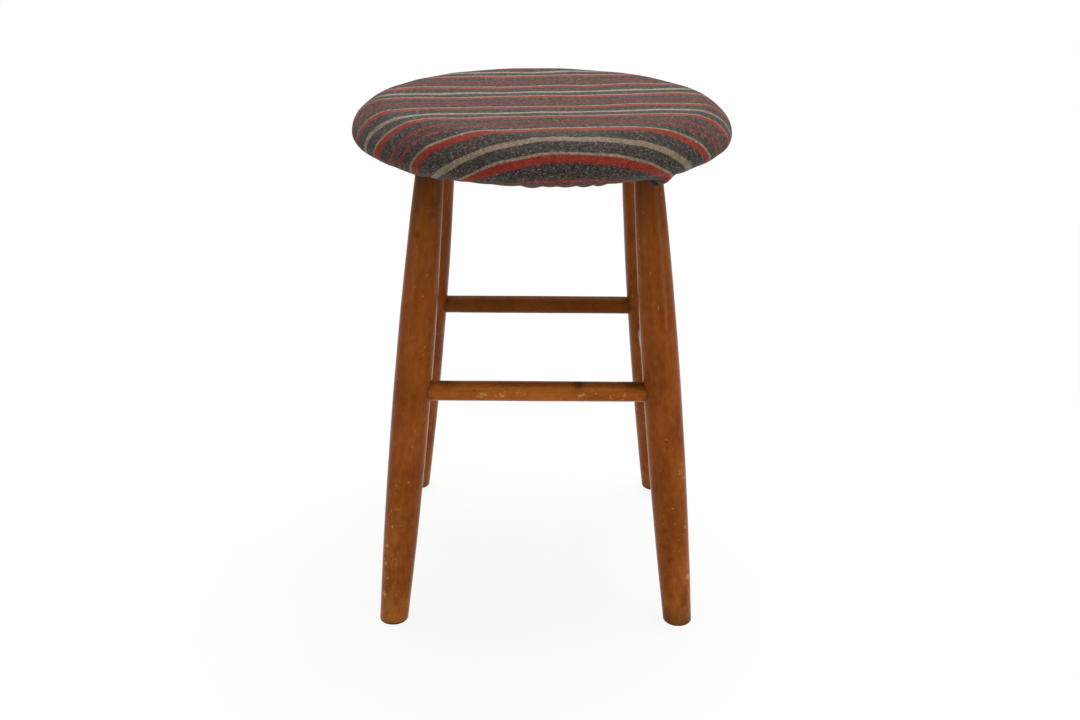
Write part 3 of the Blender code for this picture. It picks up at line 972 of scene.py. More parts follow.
# %% Stuffing material
material, tree, shader = new_material("stuffing")
place = object_place(tree)
tuft = stretched_noise(tree, place, (160.0, 160.0, 160.0), 6.0, 0.7)
strand = stretched_noise(tree, place, (900.0, 300.0, 900.0), 4.0, 0.7)
colour = mix_colour(tree, (0.46, 0.38, 0.25), (0.80, 0.73, 0.58), tuft)
wire(tree, shader, {"Base Color": colour, "Roughness": 0.95})
emboss(tree, shader, strand, 0.6, 0.0012)
pad.data.materials.append(material)
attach(pad, "root")
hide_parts("seat_pad")
print("stuffing painted:", material.name)

# %% [markdown]
# ## The striped wool
#
# The cloth is a dark heathered wool with woven stripes that repeat: a strong red with a fine beige
# edge, a band with two thin reds, another strong red with its beige edge, and a beige stripe. The
# pattern is read from the cloth's own flat plan, kept as a UV map in metres, so that it bends over
# the shoulder as a real stripe does. One colour ramp holds a whole repeat: its red, green and blue
# tell how much strong red, beige and thin red there is, and where all are zero the heather shows.

# %% Stripes of the wool
REPEAT = 0.0861
STRIPES = (
    # middle of the stripe from the first red, width, channel, strength
    (0.0003, 0.0066, 0, 1.0),
    (0.00485, 0.0025, 1, 1.0),
    (0.0226, 0.0180, 2, 0.10),
    (0.0172, 0.0026, 2, 0.80),
    (0.0280, 0.0026, 2, 0.80),
    (0.0454, 0.0066, 0, 1.0),
    (0.04995, 0.0025, 1, 1.0),
    (0.0656, 0.0060, 1, 1.0),
)
FIRST_RED = -0.1293
EDGE = 0.0003


def stripe_stops():
    """Ramp stops of one repeat: each stripe rises and falls within a soft edge."""
    changes = []
    for middle, width, channel, strength in STRIPES:
        changes.append((middle - 0.5 * width, channel, strength))
        changes.append((middle + 0.5 * width, channel, -strength))
    level = [1.0, 0.0, 0.0]
    stops = [(0.0, tuple(level))]
    places = sorted({round(change[0] % REPEAT, 6) for change in changes})
    for place in places:
        stops.append(((place - EDGE) / REPEAT, tuple(level)))
        for where, channel, amount in changes:
            if round(where % REPEAT, 6) == place:
                level[channel] = min(1.0, max(0.0, level[channel] + amount))
        stops.append(((place + EDGE) / REPEAT, tuple(level)))
    return stops


def stripe_shares(tree, plan):
    """How much strong red, beige and thin red there is at each place of the plan."""
    wobble = stretched_noise(tree, plan, (26.0, 14.0, 1.0), 2.0, 0.5)
    ragged = stretched_noise(tree, plan, (900.0, 1500.0, 1.0), 2.0, 0.6)
    wobble, ragged = [calc(tree, "SUBTRACT", noise, 0.5) for noise in (wobble, ragged)]
    across = add_node(tree, "ShaderNodeSeparateXYZ", {0: plan}).outputs[1]
    across = weigh(tree, (wobble, 0.0048), (ragged, 0.0009), start=across)
    share = calc(tree, "DIVIDE", calc(tree, "SUBTRACT", across, FIRST_RED), REPEAT)
    colour = colour_ramp(tree, calc(tree, "FRACT", share), stripe_stops())
    return add_node(tree, "ShaderNodeSeparateColor", {0: colour}).outputs


print("one repeat of stripes:", len(stripe_stops()), "ramp stops")

# %% [markdown]
# The heather is spun from dark, warm and pale wool, so it is flecked, and the flecks run through the
# coloured stripes too. The crown is painted lighter and hazier, a painted sheen of its fuzz, and the
# turned-under hem and the flap are painted darker, as painted shade with some soil; two attributes
# of the cloth tell how much. The weave is a fine relief of two crossing waves.

# %% Heather
HEATHER_DARK, HEATHER_WARM = (0.0220, 0.0180, 0.0156), (0.0550, 0.0412, 0.0325)
# lighter colours for the crown: painted sheen
HEATHER_PAINTED_SHEEN = (0.062, 0.055, 0.051)
DARK_FLECK = (0.0085, 0.0075, 0.0072)
PALE_FLECK, PALE_FLECK_PAINTED_SHEEN = (0.170, 0.152, 0.133), (0.215, 0.198, 0.182)


def plan_noise(tree, plan, offset, stretch, detail, roughness):
    return stretched_noise(
        tree, shifted(tree, plan, (*offset, 0.0)), (*stretch, 1.0), detail, roughness)


def heathered(tree, plan, fleck, faded):
    tint = plan_noise(tree, plan, (3.1, 1.7), (300.0, 470.0), 3.0, 0.6)
    colour = mix_colour(tree, HEATHER_DARK, HEATHER_WARM, between(tree, tint, 0.35, 0.65))
    colour = mix_colour(tree, colour, HEATHER_PAINTED_SHEEN, faded, 0.30)
    pale = mix_colour(tree, PALE_FLECK, PALE_FLECK_PAINTED_SHEEN, faded)
    colour = mix_colour(tree, colour, pale, between(tree, fleck, 0.53, 0.72))
    return mix_colour(tree, colour, DARK_FLECK, between(tree, fleck, 0.45, 0.30))


print("heather ready")

# %% Wool material
RED_DARK, RED_LIGHT = (0.130, 0.0125, 0.0082), (0.245, 0.0300, 0.0180)
RED_PAINTED_SHEEN = (0.360, 0.100, 0.075)
BEIGE_DARK, BEIGE_LIGHT = (0.120, 0.088, 0.058), (0.252, 0.196, 0.140)
BEIGE_PAINTED_SHEEN = (0.420, 0.365, 0.315)
THIN_RED_DARK, THIN_RED_LIGHT = (0.140, 0.017, 0.012), (0.255, 0.040, 0.030)


def weave(tree, plan, direction, scale):
    return add_node(tree, "ShaderNodeTexWave", {
        "Vector": plan, "Scale": scale, "Distortion": 1.6, "Detail": 2.0, "Detail Scale": 2.0,
    }, wave_type="BANDS", bands_direction=direction).outputs["Fac"]


def wool():
    material, tree, shader = new_material("cloth")
    plan = add_node(tree, "ShaderNodeUVMap", uv_map="plan").outputs[0]
    red, beige, thin = stripe_shares(tree, plan)
    faded = read_attribute(tree, "faded")
    soiled = read_attribute(tree, "soiled")
    fleck = stretched_noise(tree, plan, (600.0, 820.0, 1.0), 3.0, 0.65)
    clump = plan_noise(tree, plan, (1.9, 4.3), (250.0, 270.0), 2.0, 0.5)
    fleck = weigh(tree, (calc(tree, "SUBTRACT", clump, 0.5), 0.42), start=fleck)

    yarn = between(tree, fleck, 0.30, 0.70)
    red_wool = mix_colour(tree, RED_DARK, RED_LIGHT, yarn)
    red_wool = mix_colour(tree, red_wool, RED_PAINTED_SHEEN, faded, 0.28)
    beige_wool = mix_colour(tree, BEIGE_DARK, BEIGE_LIGHT, yarn)
    beige_wool = mix_colour(tree, beige_wool, BEIGE_PAINTED_SHEEN, faded, 0.34)
    thin_wool = mix_colour(tree, THIN_RED_DARK, THIN_RED_LIGHT, between(tree, fleck, 0.35, 0.70))
    colour = mix_colour(tree, heathered(tree, plan, fleck, faded), thin_wool, thin, 0.94)
    colour = mix_colour(tree, colour, beige_wool, beige, 0.95)
    colour = mix_colour(tree, colour, red_wool, red, 0.97)

    cloud = plan_noise(tree, plan, (7.3, 2.9), (38.0, 60.0), 3.0, 0.5)
    mottle = plan_noise(tree, plan, (5.7, 8.1), (310.0, 140.0), 2.0, 0.6)
    shade = weigh(tree, (mottle, 1.1), (cloud, 0.5), start=0.20)
    # darker on the turned-under hem and the flap: painted shade with some soil
    shade = calc(tree, "MULTIPLY", shade, calc(tree, "SUBTRACT", 1.0, soiled))
    grey = add_node(tree, "ShaderNodeCombineColor", {0: shade, 1: shade, 2: shade}).outputs[0]
    colour = mix_colour(tree, colour, grey, 1.0, blend="MULTIPLY")

    wire(tree, shader, {
        "Base Color": colour, "Roughness": 0.92, "Specular IOR Level": 0.15,
        "Sheen Weight": 0.07, "Sheen Roughness": 0.36, "Sheen Tint": (1.0, 0.90, 0.84)})
    weft, warp = weave(tree, plan, "X", 285.0), weave(tree, plan, "Y", 240.0)
    emboss(tree, shader, weigh(tree, (warp, 0.5), (weft, 0.5), (fleck, 0.9)), 0.55, 0.0007)
    return material


WOOL = wool()
print("wool ready,", len(WOOL.node_tree.nodes), "nodes")

# %% [markdown]
# ## The cloth on the seat
#
# One round piece of cloth was laid on the padded board, pulled down and tacked underneath. Its skin
# follows the seat's outline, with low bumps where the stuffing is fuller. Its plan is kept by
# distance: a point lies as far from the middle of the flat cloth as it does along the seat's skin.
# The cloth was cut back round each leg.

# %% Cloth skin
COLUMNS = 720
CLOTH_THICKNESS = 0.0015
HEM_EDGE = 0.1245                # radius of the cloth's edge under the board
LEG_CUT = 0.1462                 # the same where it is cut back round a leg
HEM_ROWS = np.linspace(0.0, 1.0, 12)[1:]
# where the hem is cut back: degrees from the front, to the right, and half width
LEG_CUTS = ((42.0, 10.0), (-45.0, 7.6), (135.0, 7.6), (-135.0, 7.6))
BUMP_HEIGHT = 0.00026


def lumpiness(x, y, seed):
    """Low bumps, about 1 high: waves of 35 to 95 mm in random directions."""
    draw = np.random.default_rng(seed)
    total = np.zeros_like(x)
    for _ in range(16):
        way, phase = draw.uniform(0.0, 2.0 * math.pi, 2)
        count = 2.0 * math.pi / draw.uniform(0.035, 0.095)
        total += np.sin(count * (x * math.cos(way) + y * math.sin(way)) + phase)
    return total / math.sqrt(8.0)


turn = even_turns(COLUMNS)
degrees = np.degrees(np.angle(np.exp(1j * turn)))
radius, height = seat_outline(turn)
inner_edge = np.full(COLUMNS, HEM_EDGE) + 0.0012 * wander(turn, range(9, 40, 3), 3)
for middle, width in LEG_CUTS:
    inner_edge += (LEG_CUT - HEM_EDGE) * bell(degrees - middle, width, 4)
inner_edge = np.minimum(inner_edge, LEG_CUT)
hem_radius = TURN_RADIUS + (inner_edge - TURN_RADIUS)[None, :] * HEM_ROWS[:, None]
radius = np.vstack([radius, hem_radius])
height = np.vstack([height, np.full_like(hem_radius, HEM_BOTTOM)])
steps = np.hypot(np.diff(radius, axis=0), np.diff(height, axis=0))
skin = np.vstack([np.zeros((1, COLUMNS)), np.cumsum(steps, axis=0)])

# how far under a row lies: 0 down to the waist, 1 where the turn is level, 2 at the hem's edge
waist_row = len(CROWN_ROWS) - 1
under = np.concatenate([np.zeros(waist_row), np.linspace(0.0, 1.0, len(UNDER_ROWS) + 1), 1.0 + HEM_ROWS])
out_r, out_z = outline_normals(radius, height)
bumps = np.maximum(lumpiness(radius * np.sin(turn), -radius * np.cos(turn), 21), -2.0)
bumps = BUMP_HEIGHT * bumps * (1.0 - ease(under, 0.6, 1.0))[:, None]
radius, height = radius + bumps * out_r, height + bumps * out_z
print("cloth reaches", round(float(skin[-1].max()), 4), "m from its middle")

# %% [markdown]
# ### Sags and the flap
#
# Over the legs the hem is not tacked, so it sags there by a millimetre or two, and more beside the
# front right leg, where a loose flap of the cloth hangs over the leg's top. These are single moves
# of the skin: how far each row of the flap hangs down, and how far out, is read off a short curve.

# %% Sags and flap
# degrees from the front, to the right, half width in degrees, and drop
LEG_SAGS = ((42.0, 5.0, 0.0012), (40.4, 1.9, 0.0058), (-44.0, 7.0, 0.0012),
            (135.0, 7.0, 0.0022), (-137.0, 7.0, 0.0018))
SAG_HALF = 0.42                  # half height of a sag, in steps of under
FLAP_AT, FLAP_HALF = 39.2, 3.0   # degrees
# the flap from its root to its edge: how far under, and the radius and drop there
FLAP_PLACE = (0.80, 1.00, 1.25, 1.55, 1.80, 2.00)
FLAP_RADIUS = (0.1575, 0.1507, 0.1470, 0.1492, 0.1494, 0.1478)
FLAP_DROP = (0.0, 0.0008, 0.0034, 0.0064, 0.0086, 0.0092)

for middle, width, drop in LEG_SAGS:
    sag = drop * bell(under - 1.0, SAG_HALF)[:, None] * bell(degrees - middle, width)[None, :]
    radius, height = radius + 0.30 * sag, height - sag
hang = ease(under, 0.80, 1.00)[:, None] * bell(degrees - FLAP_AT, FLAP_HALF, 5)[None, :]
height = height - np.interp(under, FLAP_PLACE, FLAP_DROP)[:, None] * hang
radius = radius + (np.interp(under, FLAP_PLACE, FLAP_RADIUS)[:, None] - radius) * hang
print("flap hangs to", round(float(height.min()), 4))

# %% [markdown]
# ### Gathers
#
# A flat round cloth has more length round than the seat's underside has room for, so below the waist
# it gathers. Each tack pulls it tight, and between two tacks the spare cloth stands in two or three
# uneven folds that begin somewhere on the turn and deepen towards the hem. The folds are first laid
# in by rule, as a hand would while tacking: the valleys lie at the tacks, and every ridge stands
# outwards.

# %% Folds
TACK_RING = 0.1367
TACK_PLACES = 24                 # even places round the ring, of which the legs take four
PLACES_PER_LEG = 6
LEG_PLACE = 3                    # the place of every six that falls on a leg
FULL_FOLD = 5.5                  # degrees; a narrower fold stands less high


def lay_folds(place, seed):
    """For each column: its place across its own fold, and that fold's height and where it begins."""
    draw = np.random.default_rng(seed)
    across, tall, begin = np.zeros((3, len(place)))
    for gap in range(TACK_PLACES):
        widths = draw.uniform(0.6, 1.4, draw.integers(2, 4))
        edges = np.concatenate([[0.0], np.cumsum(widths) / widths.sum()])
        edges = 360.0 / TACK_PLACES * (gap + edges)
        for low, high in zip(edges[:-1], edges[1:]):
            mine = (place >= low) & (place < high)
            across[mine] = (place[mine] - low) / (high - low)
            tall[mine] = draw.uniform(0.0007, 0.0026) * min(1.0, (high - low) / FULL_FOLD)
            begin[mine] = draw.uniform(0.25, 0.62)
    return across, tall, begin


across, tall, begin = lay_folds(np.degrees(turn), 17)
ridge = np.sin(math.pi * across) ** 0.8
lift = (tall * ridge)[None, :] * ease(under[:, None], begin[None, :], 1.05)
lift = lift * (1.0 + 0.4 * ease(under, 1.0, 2.0))[:, None] * (1.0 - 0.6 * hang)
out_r, out_z = outline_normals(radius, height)
smooth_rows = seat_rows(turn, radius, height)
outer = seat_rows(turn, radius + lift * out_r, height + lift * out_z)
print("folds up to", round(1000.0 * float(lift.max()), 2), "mm deep")

# %% [markdown]
# ### Letting the hem settle
#
# Folds drawn by rule are too even. So the ring of cloth below the waist is handed to Blender's cloth
# for a moment. A shape key holds the ring with some of its spare cloth spread out, and the springs
# take their lengths from it; the waist and the tacked places are held. The spare cloth then pushes
# the folds into uneven shapes of its own. How far a point may move is capped, and nothing may sink
# into the board.

# %% Cloth settings
SETTLE_FRAMES = 18
CLOTH_SETTINGS = {
    "quality": 6,
    "mass": 0.05,
    "air_damping": 2.0,
    "tension_stiffness": 15.0,
    "compression_stiffness": 15.0,
    "shear_stiffness": 4.0,
    "bending_stiffness": 0.02,
    "use_pressure": True,
    "uniform_pressure_force": 0.6,
}


def settle(start, spread, held):
    """Run Blender's cloth on a ring of rows and return where its points come to lie."""
    count = start.shape[1]
    cells = np.arange(start.shape[0] - 1)[:, None] * count + np.arange(count)[None, :]
    after = np.roll(cells, -1, axis=1)
    faces = np.stack([cells, cells + count, after + count, after], axis=2).reshape(-1, 4)
    ring = mesh_object("hem_ring", start.reshape(-1, 3).tolist(), faces.tolist())
    ring.shape_key_add(name="worn")
    cut = ring.shape_key_add(name="spread")
    cut.data.foreach_set("co", spread.astype(np.float32).ravel())
    group = ring.vertex_groups.new(name="held")
    for index, weight in enumerate(held.ravel().tolist()):
        if weight > 0.0:
            group.add([index], weight, "REPLACE")

    step = ring.modifiers.new("cloth", "CLOTH")
    step.settings.rest_shape_key = cut
    step.settings.vertex_group_mass = "held"
    for option, value in CLOTH_SETTINGS.items():
        setattr(step.settings, option, value)
    step.settings.effector_weights.gravity = 0.0
    step.collision_settings.use_collision = False
    step.point_cache.frame_start = 1
    step.point_cache.frame_end = SETTLE_FRAMES
    for moment in range(1, SETTLE_FRAMES + 1):
        bpy.context.scene.frame_set(moment)
    evaluated = ring.evaluated_get(bpy.context.evaluated_depsgraph_get())
    spots = np.zeros(start.size)
    evaluated.data.vertices.foreach_get("co", spots)
    bpy.data.objects.remove(ring, do_unlink=True)
    bpy.context.scene.frame_set(1)
    return spots.reshape(start.shape)


print("cloth settles for", SETTLE_FRAMES, "frames")

# %% Settled hem
SPARE_SHARE = 0.35               # how much of the spare cloth is spread out
SETTLE_CAP = 0.0035
SINK = 0.0001                    # how far the cloth may sink below its smooth skin
TACK_HOLD = 0.0050               # a tack holds the cloth this far round it
STRIP_FROM = waist_row - 3

start = outer[STRIP_FROM:].copy()
ring_r, ring_s = radius[STRIP_FROM:], skin[STRIP_FROM:]
wide = ring_r + SPARE_SHARE * (ring_s - ring_r)
fall = np.sqrt(np.maximum(np.diff(ring_s, axis=0) ** 2 - np.diff(wide, axis=0) ** 2, 0.0))
spread = seat_rows(turn, wide, np.vstack([np.zeros((1, COLUMNS)), -np.cumsum(fall, axis=0)]))
held = np.repeat(1.0 - ease(np.arange(len(ring_r)), 2, 7)[:, None], COLUMNS, axis=1)
for number, angle in enumerate(even_turns(TACK_PLACES)):
    if number % PLACES_PER_LEG != LEG_PLACE:
        tack = TACK_RING * np.array([math.cos(angle), math.sin(angle)])
        away = np.linalg.norm(start[:, :, :2] - tack, axis=2)
        held = np.maximum(held, bell(away, TACK_HOLD, 4) * (under[STRIP_FROM:] > 1.0)[:, None])
held = np.maximum(held, 0.7 * hang[STRIP_FROM:])
held[held < 0.02] = 0.0
moved = settle(start, spread, held) - start
reach = np.linalg.norm(moved, axis=2, keepdims=True)
print("hem settled, moved up to", round(1000.0 * float(reach.max()), 2), "mm")
ring = start + moved * np.minimum(1.0, SETTLE_CAP / np.maximum(reach, 1e-9))
facing = seat_rows(turn, out_r, out_z, 0.0)[STRIP_FROM:]
proud = np.sum((ring - smooth_rows[STRIP_FROM:]) * facing, axis=2, keepdims=True)
outer[STRIP_FROM:] = ring + facing * (np.maximum(proud, -SINK) - proud)
print("lowest point of the cloth", round(float(outer[:, :, 2].min()), 4))

# %% [markdown]
# ### The finished cover
#
# The settled skin gets its thickness: every second row is repeated inside, along the skin's own
# normals, and the two walls meet at the hem's edge. The flat plan becomes the UV map that the wool
# reads. The cloth was not laid on quite square, pulling it down stretched the front a little more
# than the rear, and in four places it was tugged towards the hem.

# %% Flat plan of the cloth
PLAN_TURN = math.radians(7.45)
# distance across the stripes before and after the cloth was pulled down, front to rear
PULL_FROM = (-0.250, -0.1694, -0.1293, -0.0841, -0.0432, 0.0010, 0.0473, 0.0966, 0.260)
PULL_TO = (-0.251, -0.1703, -0.1293, -0.0842, -0.0432, 0.0019, 0.0429, 0.0880, 0.238)
# single pulls of the cloth towards the hem: place on the plan, reach both ways, and length
TUGS = ((-0.082, -0.146, 0.026, 0.018, 0.0030), (-0.160, -0.118, 0.040, 0.045, 0.0064),
        (0.007, -0.195, 0.050, 0.035, 0.0026), (0.132, -0.207, 0.022, 0.016, 0.0060))

plan_x, plan_y = skin * np.sin(turn), -skin * np.cos(turn)
flat_u = plan_x * math.cos(PLAN_TURN) + plan_y * math.sin(PLAN_TURN)
flat_v = plan_y * math.cos(PLAN_TURN) - plan_x * math.sin(PLAN_TURN)
flat_v = np.interp(flat_v, PULL_FROM, PULL_TO)
pulled = [length * bell(flat_u - u, reach_u) * bell(flat_v - v, reach_v)
          for u, v, reach_u, reach_v, length in TUGS]
plan = np.stack([flat_u, flat_v + np.sum(pulled, axis=0)], axis=2)
print("flat plan:", plan.shape[0], "rows of", plan.shape[1])

# %% Cloth piece
along = np.gradient(outer[1:], axis=0)
around = np.roll(outer[1:], -1, axis=1) - np.roll(outer[1:], 1, axis=1)
normal = np.cross(along, around)
normal /= np.maximum(np.linalg.norm(normal, axis=2, keepdims=True), 1e-12)
keep = np.arange(len(outer) - 2, -1, -2)
inner = (outer[1:] - CLOTH_THICKNESS * normal)[keep]


def both_walls(rows):
    """Values of the skin's rows for every vertex: pole, outer wall, inner wall, inner pole."""
    wide = rows.reshape(len(rows), COLUMNS, -1)
    walls = np.vstack([wide[1:], wide[1:][keep]]).reshape(-1, wide.shape[2])
    return np.vstack([wide[0, :1], walls, wide[0, :1]])


pole = outer[0].mean(axis=0)
inner_pole = pole - (0.0, 0.0, CLOTH_THICKNESS)
cover = ring_mesh("striped_cover", pole, np.vstack([outer[1:], inner]), inner_pole)
uv = cover.data.uv_layers.new(name="plan")
corner_vertex = np.zeros(len(cover.data.loops), dtype=np.int32)
cover.data.loops.foreach_get("vertex_index", corner_vertex)
uv.data.foreach_set("uv", both_walls(plan)[corner_vertex].astype(np.float32).ravel())
crown = (radius < SEAT_RADIUS) & (under == 0.0)[:, None]
# the crown painted lighter, a painted sheen, fading out towards the shoulder
faded = np.where(crown, 1.0 - ease(radius / SEAT_RADIUS, 0.78, 0.92), 0.0)
# the hem's underside and the hanging flap painted darker, as painted shade with some soil
soiled = 0.08 * ease(under, 0.95, 1.25)[:, None] + 0.45 * hang * ease(under, 1.0, 1.4)[:, None]
for title, share in (("faded", faded), ("soiled", soiled)):
    write_attribute(cover, title, both_walls(share)[:, 0])
smooth(cover, 80.0)
cover.data.materials.append(WOOL)
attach(cover, "root")
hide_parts("seat_cover")

# %% [markdown]
# ## Tacks
#
# Blued steel tacks hold the hem to the board, five between each pair of legs. They repeat round a
# ring, so a tree sets them: a circle of twenty-four points, without the four that would fall on
# legs, and on each point one small domed head on a pointed shank, tilted a little at random as
# hammered tacks are.

# %% Tack steel
BLUED_DARK, BLUED_LIGHT = (0.045, 0.050, 0.065), (0.110, 0.115, 0.130)
RUST = (0.120, 0.048, 0.020)


def tack_steel():
    material, tree, shader = new_material("tack_steel")
    place = object_place(tree)
    blue = stretched_noise(tree, place, (260.0, 260.0, 260.0), 4.0, 0.6)
    rust = between(tree, stretched_noise(tree, place, (520.0, 520.0, 520.0), 4.0, 0.6), 0.56, 0.68)
    colour = mix_colour(tree, mix_colour(tree, BLUED_DARK, BLUED_LIGHT, blue), RUST, rust)
    wire(tree, shader, {
        "Base Color": colour, "Metallic": 0.9, "Roughness": weigh(tree, (rust, 0.35), start=0.36)})
    return material


TACK_STEEL = tack_steel()
print("tack steel ready:", TACK_STEEL.name)

# %% Tacks
def one_tack(tree, given):
    """A domed head on a pointed shank."""
    ball = add_node(tree, "GeometryNodeMeshUVSphere", {"Segments": 20, "Rings": 12, "Radius": 1.0})
    spot = add_node(tree, "GeometryNodeInputPosition").outputs[0]
    x, y, z = add_node(tree, "ShaderNodeSeparateXYZ", {0: spot}).outputs
    head_size = add_node(tree, "ShaderNodeCombineXYZ", {
        0: calc(tree, "MULTIPLY", x, given["Head Radius"]),
        1: calc(tree, "MULTIPLY", y, given["Head Radius"]),
        2: calc(tree, "MULTIPLY", calc(tree, "MINIMUM", z, 0.12), given["Head Height"])})
    head = add_node(tree, "GeometryNodeSetPosition", {
        "Geometry": ball.outputs[0], "Position": head_size.outputs[0]})
    shank = add_node(tree, "GeometryNodeMeshCone", {
        "Vertices": 10, "Radius Top": 0.0001, "Radius Bottom": 0.0008, "Depth": given["Length"]})
    tack = add_node(tree, "GeometryNodeJoinGeometry")
    for piece in (shank, head):
        tree.links.new(piece.outputs[0], tack.inputs[0])
    return tack.outputs[0]


def make_tack_tree():
    tree, given, keys = new_tree("tack_ring", {
        "Ring Radius": "Float", "Height": "Float", "Head Radius": "Float", "Head Height": "Float",
        "Length": "Float", "Tilt": "Float", "Seed": "Int", "Steel": "Material"})
    ring = add_node(tree, "GeometryNodeMeshCircle", {
        "Vertices": TACK_PLACES, "Radius": given["Ring Radius"]})
    number = add_node(tree, "GeometryNodeInputIndex").outputs[0]
    at_leg = add_node(tree, "FunctionNodeCompare", data_type="INT", operation="EQUAL")
    wire(tree, at_leg, {2: calc(tree, "MODULO", number, float(PLACES_PER_LEG)), 3: LEG_PLACE})
    points = add_node(tree, "GeometryNodeMeshToPoints", {0: ring.outputs[0]})
    points = add_node(tree, "GeometryNodeDeleteGeometry", {0: points.outputs[0], 1: at_leg.outputs[0]})
    offset = add_node(tree, "ShaderNodeCombineXYZ", {2: given["Height"]})
    lifted = add_node(tree, "GeometryNodeSetPosition", {
        "Geometry": points.outputs[0], "Offset": offset.outputs[0]})

    lean = add_node(tree, "FunctionNodeRandomValue", data_type="FLOAT_VECTOR")
    wire(tree, lean, {"Seed": given["Seed"]})
    tilt = vector_calc(tree, "SUBTRACT", lean.outputs[0], (0.5, 0.5, 0.5))
    set_tacks = add_node(tree, "GeometryNodeInstanceOnPoints", {
        "Points": lifted.outputs[0], "Instance": one_tack(tree, given),
        "Rotation": scaled(tree, tilt, given["Tilt"])})
    end_tree(tree, set_tacks.outputs[0], given["Steel"])
    return tree, keys


TACK_TREE, TACK_KEYS = make_tack_tree()
tacks = grow("hem_tacks", TACK_TREE, TACK_KEYS, {
    "Ring Radius": TACK_RING, "Height": HEM_BOTTOM - 0.0006, "Head Radius": 0.0045,
    "Head Height": 0.0014, "Length": 0.0100, "Tilt": 0.16, "Seed": 5, "Steel": TACK_STEEL})
smooth(tacks)
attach(tacks, "root")
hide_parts(*["tack_%02d" % number for number in range(1, 21)])
print("tacks:", len(tacks.data.polygons), "faces")

# %% [markdown]
# ## Floor
#
# The stool stands on a plain pale floor. Seen directly, the floor and the air round it are white. A
# floor lit until it looks white would throw too much light back up, so most of its white is a glow
# that only the camera and mirrors see. Near the stool a little of its own shading is left in, for
# the shadow; farther out the glow takes over, so that the floor has no visible end.

# %% Floor
FLOOR_RADIUS = 9.0
FLOOR_SIDES = 96
GLOW_NEAR = 0.89                 # share of the glow at the stool
GLOW_FROM, GLOW_TO = 0.55, 1.60  # distances from the stool between which it rises to all

rim = [(FLOOR_RADIUS * math.cos(angle), FLOOR_RADIUS * math.sin(angle), 0.0)
       for angle in even_turns(FLOOR_SIDES)]
floor_piece = mesh_object("floor", rim, [tuple(range(FLOOR_SIDES))])


def seen_plainly(tree):
    """1 for a ray from the camera, a mirror or through glass, else 0."""
    path = add_node(tree, "ShaderNodeLightPath").outputs
    some = calc(tree, "MAXIMUM", path["Is Camera Ray"], path["Is Glossy Ray"])
    return calc(tree, "MAXIMUM", some, path["Is Transmission Ray"])


material, tree, shader = new_material("pale_floor")
place = object_place(tree)
speck = stretched_noise(tree, place, (9.0, 9.0, 9.0), 4.0)
wire(tree, shader, {
    "Base Color": mix_colour(tree, (0.84, 0.84, 0.83), (0.90, 0.90, 0.89), speck), "Roughness": 0.8})
glow = add_node(tree, "ShaderNodeEmission", {"Color": (1.0, 1.0, 1.0), "Strength": 1.0})
far = between(tree, vector_length(tree, place), GLOW_FROM, GLOW_TO)
whiteness = weigh(tree, (far, 1.0 - GLOW_NEAR), start=GLOW_NEAR)
blend = add_node(tree, "ShaderNodeMixShader", {
    0: calc(tree, "MULTIPLY", seen_plainly(tree), whiteness), 1: shader.outputs[0], 2: glow.outputs[0]})
wire(tree, tree.nodes["Material Output"], {"Surface": blend.outputs[0]})
floor_piece.data.materials.append(material)
print("floor", round(2.0 * FLOOR_RADIUS, 1), "m across")

# %% [markdown]
# ## Light
#
# Soft studio light: a broad lamp overhead, one low lamp on each side in front, the right one
# stronger, and a weak even glow from all round, at a level where a colour looks about as it was
# mixed. One hard lamp would cut sharp shadows that padded wool and satin wood do not show.

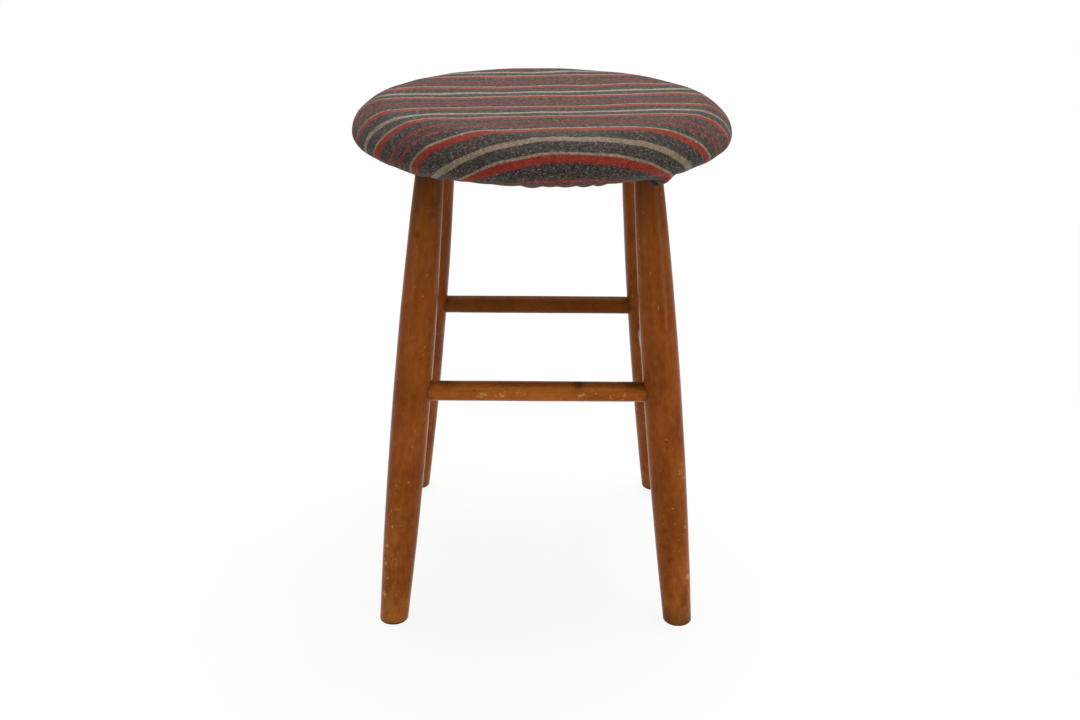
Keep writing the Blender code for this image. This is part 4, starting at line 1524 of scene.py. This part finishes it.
# %% Light
world = bpy.data.worlds.new("studio")
world.use_nodes = True
tree = world.node_tree
tree.nodes.clear()
around = add_node(tree, "ShaderNodeBackground", {"Color": (1.0, 0.985, 0.96), "Strength": 0.44})
white = add_node(tree, "ShaderNodeBackground", {"Color": (1.0, 1.0, 1.0), "Strength": 1.0})
sky = add_node(tree, "ShaderNodeMixShader", {
    0: seen_plainly(tree), 1: around.outputs[0], 2: white.outputs[0]})
add_node(tree, "ShaderNodeOutputWorld", {"Surface": sky.outputs[0]})
bpy.context.scene.world = world


def soft_lamp(name, place, target, size, power):
    lamp = bpy.data.lights.new(name, "AREA")
    lamp.shape = "DISK"
    lamp.size = size
    lamp.energy = power
    holder = link_object(name, lamp)
    holder.location = place
    holder.rotation_euler = (Vector(target) - Vector(place)).to_track_quat("-Z", "Y").to_euler()


soft_lamp("overhead", (0.2, 0.45, 2.3), (0.0, 0.0, 0.4), 1.6, 50.0)
soft_lamp("on_the_left", (-1.9, -1.5, 0.5), (0.0, 0.0, 0.25), 1.0, 11.3)
soft_lamp("on_the_right", (1.9, -1.5, 0.5), (0.0, 0.0, 0.25), 1.0, 19.0)
print("three lamps and an even glow")

# %% [markdown]
# ## Camera
#
# The camera stands at the height of a seated viewer's eyes, a little over a metre away, and looks
# down at the stool. Its place, turn and lens were found by laying the solids' outline over the
# picture.

# %% Camera
EYE_PLACE = (-0.00487, -1.1731, 0.69704)
HEADING, PITCH, ROLL = 0.0065, 0.39563, -0.00879
LENS_PIXELS = 1308.95            # focal length in pixels of a picture of this width
PICTURE_PIXELS = 1080.0
SENSOR_WIDTH = 36.0

ahead = Vector((math.sin(HEADING), math.cos(HEADING), 0.0))
right = Vector((math.cos(HEADING), -math.sin(HEADING), 0.0))
look = ahead * math.cos(PITCH) - UP * math.sin(PITCH)
below = -UP * math.cos(PITCH) - ahead * math.sin(PITCH)
aside = right * math.cos(ROLL) + below * math.sin(ROLL)
below = below * math.cos(ROLL) - right * math.sin(ROLL)
lens = bpy.data.cameras.new("camera")
lens.sensor_width = SENSOR_WIDTH
lens.sensor_fit = "HORIZONTAL"
lens.lens = LENS_PIXELS * SENSOR_WIDTH / PICTURE_PIXELS
eye = link_object("camera", lens)
facing = Matrix((aside, -below, -look)).transposed().to_4x4()
eye.matrix_world = Matrix.Translation(EYE_PLACE) @ facing
bpy.context.scene.camera = eye
bpy.context.scene.view_settings.view_transform = "Standard"
print("camera lens", round(lens.lens, 2), "mm")
